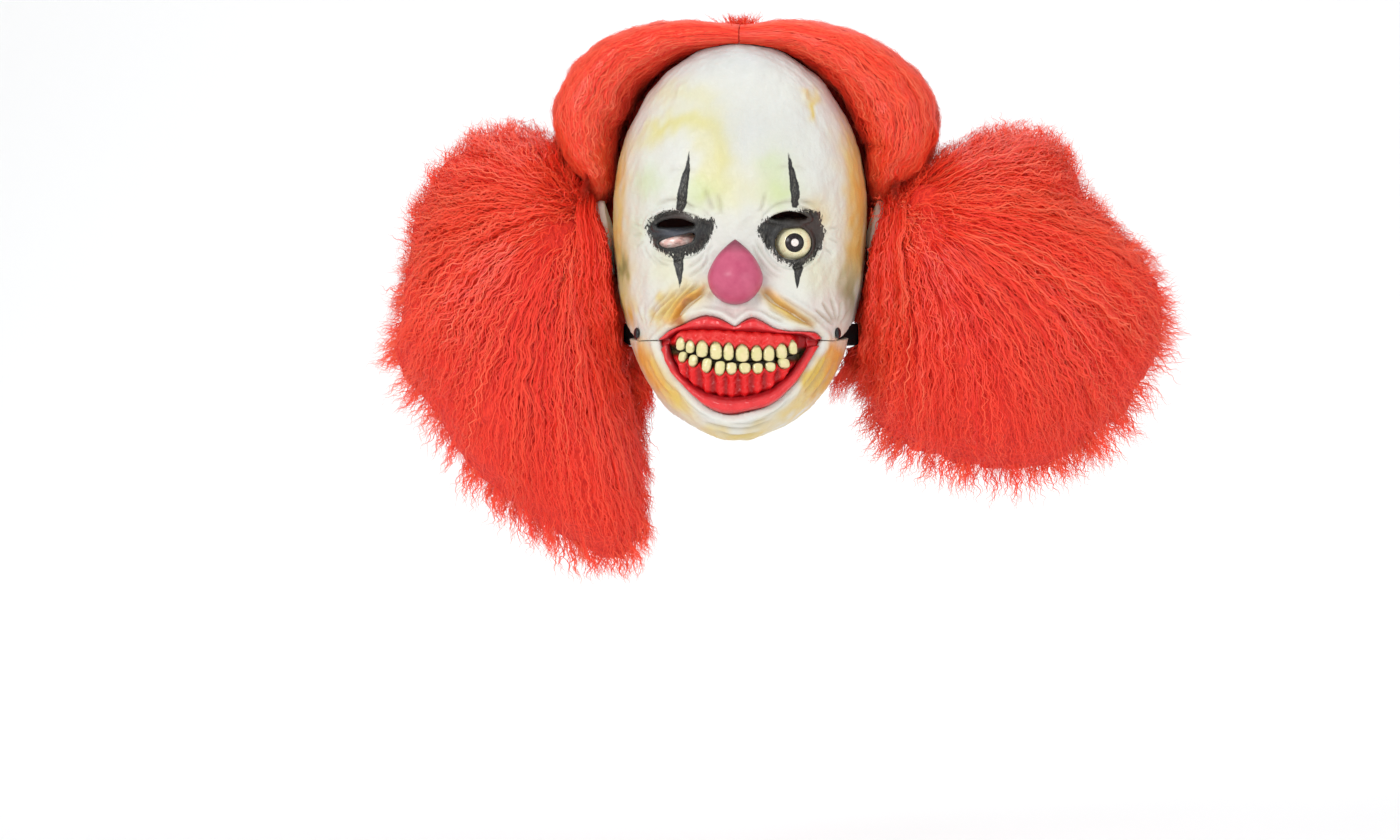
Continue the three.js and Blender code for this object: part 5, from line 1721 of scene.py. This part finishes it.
def crimp(paths, facing, size, random):
    """Frizz: each strand waves from side to side, and neighbouring strands wander together."""
    count = len(paths)
    along = np.gradient(paths, axis=1)
    along /= np.maximum(np.linalg.norm(along, axis=2, keepdims=True), 1e-9)
    side = np.cross(along, facing)
    step = np.linalg.norm(np.diff(paths, axis=1), axis=2)
    run = np.concatenate([np.zeros((count, 1)), np.cumsum(step, axis=1)], 1)
    pace = 2 * math.pi / random.uniform(6.5, 15, (count, 1))
    first = np.sin(run * pace + random.uniform(0, 6.3, (count, 1)))
    second = np.sin(run * pace * 0.8 + random.uniform(0, 6.3, (count, 1)))
    wander = 1.6 * waves(paths, 26, 91)[..., None] * side + 1.2 * waves(paths, 19, 92)[..., None] * facing
    loose = np.clip(np.linspace(0, 1, STRAND_POINTS) * 2, 0.25, 1)[None, :, None]
    size = size * random.uniform(0.35, 1.65, (count, 1, 1))
    frizz = FRIZZ * random.normal(size=paths.shape)
    wave = first[..., None] * side + 0.7 * second[..., None] * facing
    return paths + loose * (size * wave + wander + frizz)


def in_locks(count, strands_each, random):
    """Which lock each strand belongs to, and how many locks there are."""
    lock = random.integers(0, max(1, count // strands_each), count)
    return lock, lock.max() + 1


def hair_core(node, points, faces):
    """The solid below the strands, which stands for the CAD node."""
    make_piece(f"hair_core_{node}", points, faces, ["hair_mass"], "mask", (node,))


def lobe_points(course, side, t, turn, scale):
    """Points on a lobe of top hair: t runs from the parting to the tie, and turn goes round the lobe."""
    line = smooth_line(course, 12)
    at = np.linspace(0, 1, len(line))
    x, z, thick, deep, y = (np.interp(t, at, line[:, k]) for k in range(5))
    step_x, step_z = (np.interp(t, at, np.gradient(line[:, k])) for k in range(2))
    length = np.hypot(step_x, step_z)
    out_x, out_z = -side * step_z / length, side * step_x / length
    reach = thick * np.cos(turn) * scale
    points = np.stack([x + out_x * reach, y + deep * np.sin(turn) * scale, z + out_z * reach], -1)
    facing = np.stack([out_x * np.cos(turn), np.sin(turn), out_z * np.cos(turn)], -1)
    return points, facing


def top_hair(course, side, name, count, random):
    """A mass of top hair, combed from the parting down to the tie."""
    rows, columns = 60, 84
    t, turn = np.meshgrid(np.linspace(0.01, 0.99, rows), circle(columns), indexing="ij")
    rings, facing = lobe_points(course, side, t, turn, 0.93)
    rings = rings + facing * (0.9 * waves(rings, 16, 95) + 0.5 * waves(rings, 5, 96))[..., None]
    rings = keep_clear(rings, 1.2)
    points, faces = closed_rings(rings, rings[0].mean(0), rings[-1].mean(0))
    hair_core(name, points, faces)
    lock, locks = in_locks(count, 9, random)
    lock_turn = random.uniform(-2.9, 2.1, locks)
    turn = lock_turn[lock] + random.normal(0, 0.09, count)
    scale = 0.94 + 0.10 * random.uniform(0, 1, locks)[lock] + random.normal(0, 0.012, count)
    scale += np.where(random.uniform(size=count) < 0.10, random.uniform(0, 0.05, count), 0)
    begin = np.where(random.uniform(size=count) < 0.45, 0.0, random.uniform(0, 0.6, count))
    end = np.minimum(begin + random.uniform(0.35, 1.0, count), 1.0)
    run = np.linspace(0, 1, STRAND_POINTS)
    t = begin[:, None] + (end - begin)[:, None] * run
    drift = random.normal(0, 0.18, locks)[lock]
    turn = turn[:, None] + drift[:, None] * t
    paths, facing = lobe_points(course, side, t, turn, scale[:, None])
    paths = keep_clear(crimp(paths, facing, 1.3, random), 1.6)
    # Strands on the side of the lobe that faces the head get darker reds: painted shade; locks also differ
    # at random.
    shade = 0.62 - 0.30 * np.clip(np.abs(turn[:, 0]) - 2.0, 0, 1) + random.normal(0, 0.18, locks)[lock]
    strands(f"hair_{name}", paths, facing, 0.62, shade, random)


def puff_radius(outline, centre):
    """How far the outline of a bunch lies from its centre, by direction."""
    away = smooth_line(outline, 12, closed=True) - centre
    way = np.arctan2(away[:, 1], away[:, 0])
    order = np.argsort(way)
    reach = np.hypot(away[:, 0], away[:, 1])
    return lambda angle: np.interp(angle, way[order], reach[order], period=2 * math.pi)


def edge_ring(outline):
    """The outline of a bunch as evenly spaced points."""
    return resample(np.concatenate([smooth_line(outline, 12, closed=True), [outline[0]]]), EDGE_POINTS)


def bunch_core(outline, centre, name):
    """The solid inside of a bunch."""
    angle = np.linspace(0.06, math.pi - 0.06, 40)[:, None]
    edge = resample(edge_ring(outline), 121)[:-1]
    swell = 0.955 * np.sin(angle) ** PUFF_ROUNDNESS
    depth = CORE_SHARE * PUFF_HALF_DEPTH
    rings = np.stack([
        centre[0] + (edge[:, 0] - centre[0]) * swell,
        PUFF_MIDDLE_Y - depth * np.cos(angle) + 0 * edge[:, 0],
        centre[1] + (edge[:, 1] - centre[1]) * swell,
    ], -1)
    middle = np.array([centre[0], PUFF_MIDDLE_Y, centre[1]])
    outwards = (rings - middle) / np.linalg.norm(rings - middle, axis=-1, keepdims=True)
    tufts = 2.4 * waves(rings, 38, 97) + 1.1 * waves(rings, 12, 98) + 0.5 * waves(rings, 5, 99)
    rings = keep_clear(rings + outwards * tufts[..., None], CLEAR)
    hair_core(name, *closed_rings(rings, middle - (0, depth, 0), middle + (0, depth, 0)))


def bunch_goals(count, centre, ring, random):
    """Where each strand of a bunch ends: its place, its layer from front (-1) to back (1), and its lock."""
    lock, locks = in_locks(count, 12, random)
    goal = ring[random.integers(0, EDGE_POINTS, locks)]
    at_edge = random.uniform(size=locks) < 0.6
    reach = np.where(at_edge, random.uniform(0.93, 1.03, locks), random.uniform(0.45, 0.95, locks))
    goal = centre + (goal - centre) * reach[:, None]
    layer = shaped(random.uniform(-1, 1, locks), 0.28)
    layer = np.where(random.uniform(size=locks) < 0.32, -np.abs(layer), layer)
    goal = goal[lock] + random.normal(0, 8.0, (count, 2))
    return goal, layer[lock] + random.normal(0, 0.06, count), lock, locks


def bunch(outline, side, name, count, random):
    """A side bunch: strands that arch out from the tie and fill the outline, over a solid inside."""
    centre = np.array(PUFF_CENTRES[side])
    bunch_core(outline, centre, name)
    radius = puff_radius(outline, centre)
    goal, layer, lock, locks = bunch_goals(count, centre, edge_ring(outline), random)
    begin = np.where(random.uniform(size=count) < 0.22, 0.0, random.uniform(0.05, 0.8, count))
    run = begin[:, None] + (1 - begin)[:, None] * np.linspace(0, 1, STRAND_POINTS)
    root = np.array([side * TIE_PLACE[0], TIE_PLACE[2]]) + random.normal(0, 3.5, (count, 2))
    straight = goal - root
    arch = np.linalg.norm(straight, axis=1) / 200 * random.uniform(14, 30, locks)[lock]
    bow = 4 * run * (1 - run) * arch[:, None]
    x = root[:, :1] + straight[:, :1] * run + side * 0.55 * bow
    z = root[:, 1:] + straight[:, 1:] * run + 0.85 * bow
    way = np.arctan2(z - centre[1], x - centre[0])
    share = np.hypot(x - centre[0], z - centre[1]) / radius(way)
    most = 0.985 + 0.05 * np.clip(run, 0, 1) + 0.015 * random.normal(size=(count, 1))
    pull = np.where(share > most, most / share, 1)
    x, z = centre[0] + (x - centre[0]) * pull, centre[1] + (z - centre[1]) * pull
    share = np.minimum(share, most)
    round_off = np.sqrt(np.clip(1 - share ** (2 / PUFF_ROUNDNESS), 0.0, 1))
    surface = PUFF_MIDDLE_Y + layer[:, None] * PUFF_HALF_DEPTH * round_off
    surface += random.normal(0, 13, locks)[lock][:, None] * (1 - round_off) ** 2
    spread = np.clip(run / 0.30, 0, 1)
    spread = spread * spread * (3 - 2 * spread)
    y = TIE_PLACE[1] + (surface - TIE_PLACE[1]) * spread
    paths = np.stack([x, y, z], -1)
    facing_y = (y - PUFF_MIDDLE_Y) / PUFF_HALF_DEPTH
    facing = np.stack([(x - centre[0]) / PUFF_REACH, facing_y, (z - centre[1]) / PUFF_REACH], -1)
    facing += 0.01 * np.sign(layer)[:, None, None] * np.array([0, 1, 0])
    facing /= np.linalg.norm(facing, axis=2, keepdims=True)
    paths = keep_clear(crimp(paths, facing, 1.5, random), CLEAR)
    # Strands in the middle layers of a bunch get darker reds, painted shade inside the mass, and strands
    # that end low get darker reds, painted shade under the bunch; locks also differ at random.
    shade = 0.60 * np.clip(np.abs(layer), 0, 1.1) ** 1.5 + random.normal(0.04, 0.16, locks)[lock]
    shade -= 0.30 * np.clip((-50 - goal[:, 1]) / 100, 0, 1)
    strands(f"hair_{name}", paths, facing, 0.58, shade, random)


# Hair that falls beside the face and behind the jaw: (x, y, z) on the right, from the tie down.
SIDE_FALL = [
    (107, 10, 40), (104, -14, 18), (96, -26, -10), (93, -28, -40), (89, -22, -66), (86, -8, -92),
    (86, 4, -118),
]
BEHIND_JAW = [
    (106, 26, 30), (96, 20, -20), (86, 18, -52), (79, 16, -82), (69, 14, -100), (64, 12, -122),
    (69, 12, -146),
]


def side_locks(side, name, course, count, random):
    """Locks that hang from the tie along a course, and spread outwards on their way down."""
    lock, locks = in_locks(count, 9, random)
    line = smooth_line(course, 12)
    at = np.linspace(0, 1, len(line))
    begin = random.uniform(0, 0.45, count)
    end = np.minimum(random.uniform(0.72, 1, locks)[lock], begin + random.uniform(0.35, 0.9, locks)[lock])
    run = begin[:, None] + (end - begin)[:, None] * np.linspace(0, 1, STRAND_POINTS)
    paths = np.stack([np.interp(run, at, line[:, k]) for k in range(3)], -1)
    spread = random.uniform(0, 1, locks)[lock] ** 1.6
    paths[..., 0] += spread[:, None] * (6 + 34 * run) + random.normal(0, 1.8, (count, 1))
    layer = random.uniform(-7, 12, locks)[lock][:, None]
    paths[..., 1] += layer - spread[:, None] * 6 + random.normal(0, 1.5, (count, 1))
    paths[..., 0] *= side
    facing = np.broadcast_to(np.array([0.45 * side, -0.9, 0.1]), paths.shape)
    paths = keep_clear(crimp(paths, facing, 1.3, random), CLEAR)
    # Locks that spread further out get lighter reds: painted light on the outer locks; locks also differ at
    # random.
    shade = 0.40 + 0.25 * spread + random.normal(0, 0.12, locks)[lock]
    strands(f"hair_side_lock_{name}", paths, facing, 0.62, shade, random)


def wisps(outline, side, name, count, random):
    """Loose ends that stand out along the edge of a bunch."""
    centre = np.array(PUFF_CENTRES[side])
    lock, locks = in_locks(count, 5, random)
    edge = edge_ring(outline)[random.integers(10, EDGE_POINTS - 10, locks)]
    out = edge - centre
    out /= np.linalg.norm(out, axis=1, keepdims=True)
    low = np.clip((20 - edge[:, 1]) / 140, 0, 1)
    way = out * (1 - 0.25 * low[:, None]) + np.array([0.10 * side, -0.55]) * low[:, None]
    reach = random.uniform(0.2, 1.0, locks) ** 1.4 * (7 + 11 * low)
    reach = np.minimum(reach, edge[:, 1] + 240)
    run = np.linspace(0, 1, STRAND_POINTS)[None, :, None]
    start = edge - out * 26 + random.normal(0, 4, (locks, 2))
    end = edge + way * reach[:, None]
    spread = random.normal(0, 3.0, (count, 2))[:, None, :]
    flat = start[lock][:, None, :] * (1 - run) + end[lock][:, None, :] * run + spread * (0.4 + 0.6 * run)
    y = PUFF_MIDDLE_Y + random.uniform(-26, 20, locks)[lock][:, None] * (1 - 0.4 * run[..., 0])
    paths = np.stack([flat[..., 0], y, flat[..., 1]], -1)
    facing = np.broadcast_to(FORWARDS, paths.shape)
    paths = keep_clear(crimp(paths, facing, 1.1, random), CLEAR)
    shade = random.normal(0.62, 0.12, locks)[lock]
    strands(f"hair_wisp_{name}", paths, facing, 0.55, shade, random)


def parting_tuft(count, random):
    """Short fluffy hair that stands up in the parting."""
    lean = random.normal(0, 0.35, (count, 2))
    root = np.array([0, 2, 139]) + random.normal(0, 1, (count, 3)) * (2.6, 5.5, 0.5)
    rise = random.uniform(9, 23, count)
    run = np.linspace(0, 1, STRAND_POINTS)[None, :]
    x = root[:, :1] + rise[:, None] * run * lean[:, :1]
    y = root[:, 1:2] + rise[:, None] * run * lean[:, 1:]
    z = root[:, 2:] + rise[:, None] * (run - 0.12 * run**2)
    paths = np.stack([x, y, z], -1)
    facing = np.broadcast_to(FORWARDS, paths.shape)
    shade = random.normal(0.5, 0.15, count)
    paths = paths + 0.5 * random.normal(size=paths.shape) * run[..., None]
    strands("hair_parting_tuft", paths, facing, FINE, shade, random)
    profile = np.linspace(0.08, math.pi - 0.08, 16)[:, None]
    around = circle(24)
    x, y = 3.6 * np.sin(profile) * np.cos(around), 2 + 8.5 * np.sin(profile) * np.sin(around)
    rings = np.stack([x, y, 147 - 8 * np.cos(profile) + 0 * around], -1)
    rings = rings + (0.5 * waves(rings, 5, 100))[..., None] * (1, 0, 0)
    points, faces = closed_rings(rings, (0, 2, 139), (0, 2, 155))
    hair_core("parting_tuft", points, faces)


def back_hair(count, random):
    """Hair over the wig cap, combed from the middle of the back to the two ties."""
    def region(points):
        y, z = points[..., 1], points[..., 2]
        return np.maximum(np.maximum(25 - y, -48 - z), 25 - y - 0.6 * (z + 30))
    levels = even_levels(-0.6, 0.97, 3)
    level, turn, away = snap_to_edge(levels, np.linspace(1.0, 2 * math.pi - 1.0, 190), region)
    plain = plain_head(level, turn)
    depth = 9 + 1.3 * waves(plain, 24, 101) + 0.6 * waves(plain, 8, 102)
    points, faces, _, _ = head_slab(level, turn, depth, 0.6, region_faces(away))
    hair_core("back_hair", points, faces)
    side = np.where(random.uniform(size=count) < 0.5, -1, 1)
    lock, locks = in_locks(count, 9, random)
    first = np.clip(random.uniform(-0.42, 0.97, locks)[lock] + random.normal(0, 0.012, count), -0.5, 0.985)
    run = np.linspace(0, 1, STRAND_POINTS)[None, :]
    last = 0.02 + 0.10 * first
    level = first[:, None] + (last - first)[:, None] * run**1.6
    turn = side[:, None] * (math.pi - (math.pi - 1.42) * run)
    lift = 10.5 + random.uniform(0, 5, locks)[lock][:, None] + 9 * run**3
    paths = head_points(level, turn, lift)
    facing = head_normal(level, turn)
    paths = crimp(paths, facing, 0.8, random)
    shade = random.normal(0.5, 0.14, locks)[lock]
    strands("hair_back", paths, facing, COARSE, shade, random)


def hair():
    """The whole wig. All parts draw from one generator, so their order matters."""
    random = np.random.default_rng(HAIR_SEED)
    top_hair(LOBE_LEFT, -1, "top_hair_left", TOP_STRANDS, random)
    top_hair(LOBE_RIGHT, 1, "top_hair_right", TOP_STRANDS, random)
    bunch(PUFF_LEFT, -1, "side_puff_left", BUNCH_STRANDS, random)
    bunch(PUFF_RIGHT, 1, "side_puff_right", BUNCH_STRANDS, random)
    for side, name in SIDES:
        side_locks(side, f"{name}_front", SIDE_FALL, FRONT_LOCK_STRANDS, random)
        behind = BEHIND_JAW if side < 0 else BEHIND_JAW[:6]
        side_locks(side, f"{name}_rear", behind, REAR_LOCK_STRANDS, random)
    wisps(PUFF_LEFT, -1, "left", WISP_STRANDS, random)
    wisps(PUFF_RIGHT, 1, "right", WISP_STRANDS, random)
    parting_tuft(TUFT_STRANDS, random)
    back_hair(BACK_STRANDS, random)


# ------------------------------------------------------------------ the whole scene

add_camera()
add_studio()
add_floor()
latex_shells()
mouth()
nose()
eyes()
for ear_side, ear_name in SIDES:
    ear(ear_side, ear_name)
wig_cap()
nape_strap()
studs()
hair_ties()
for pad in PADS:
    foam_pad(*pad)
jaw_tabs()
cheek_webs()
hair()
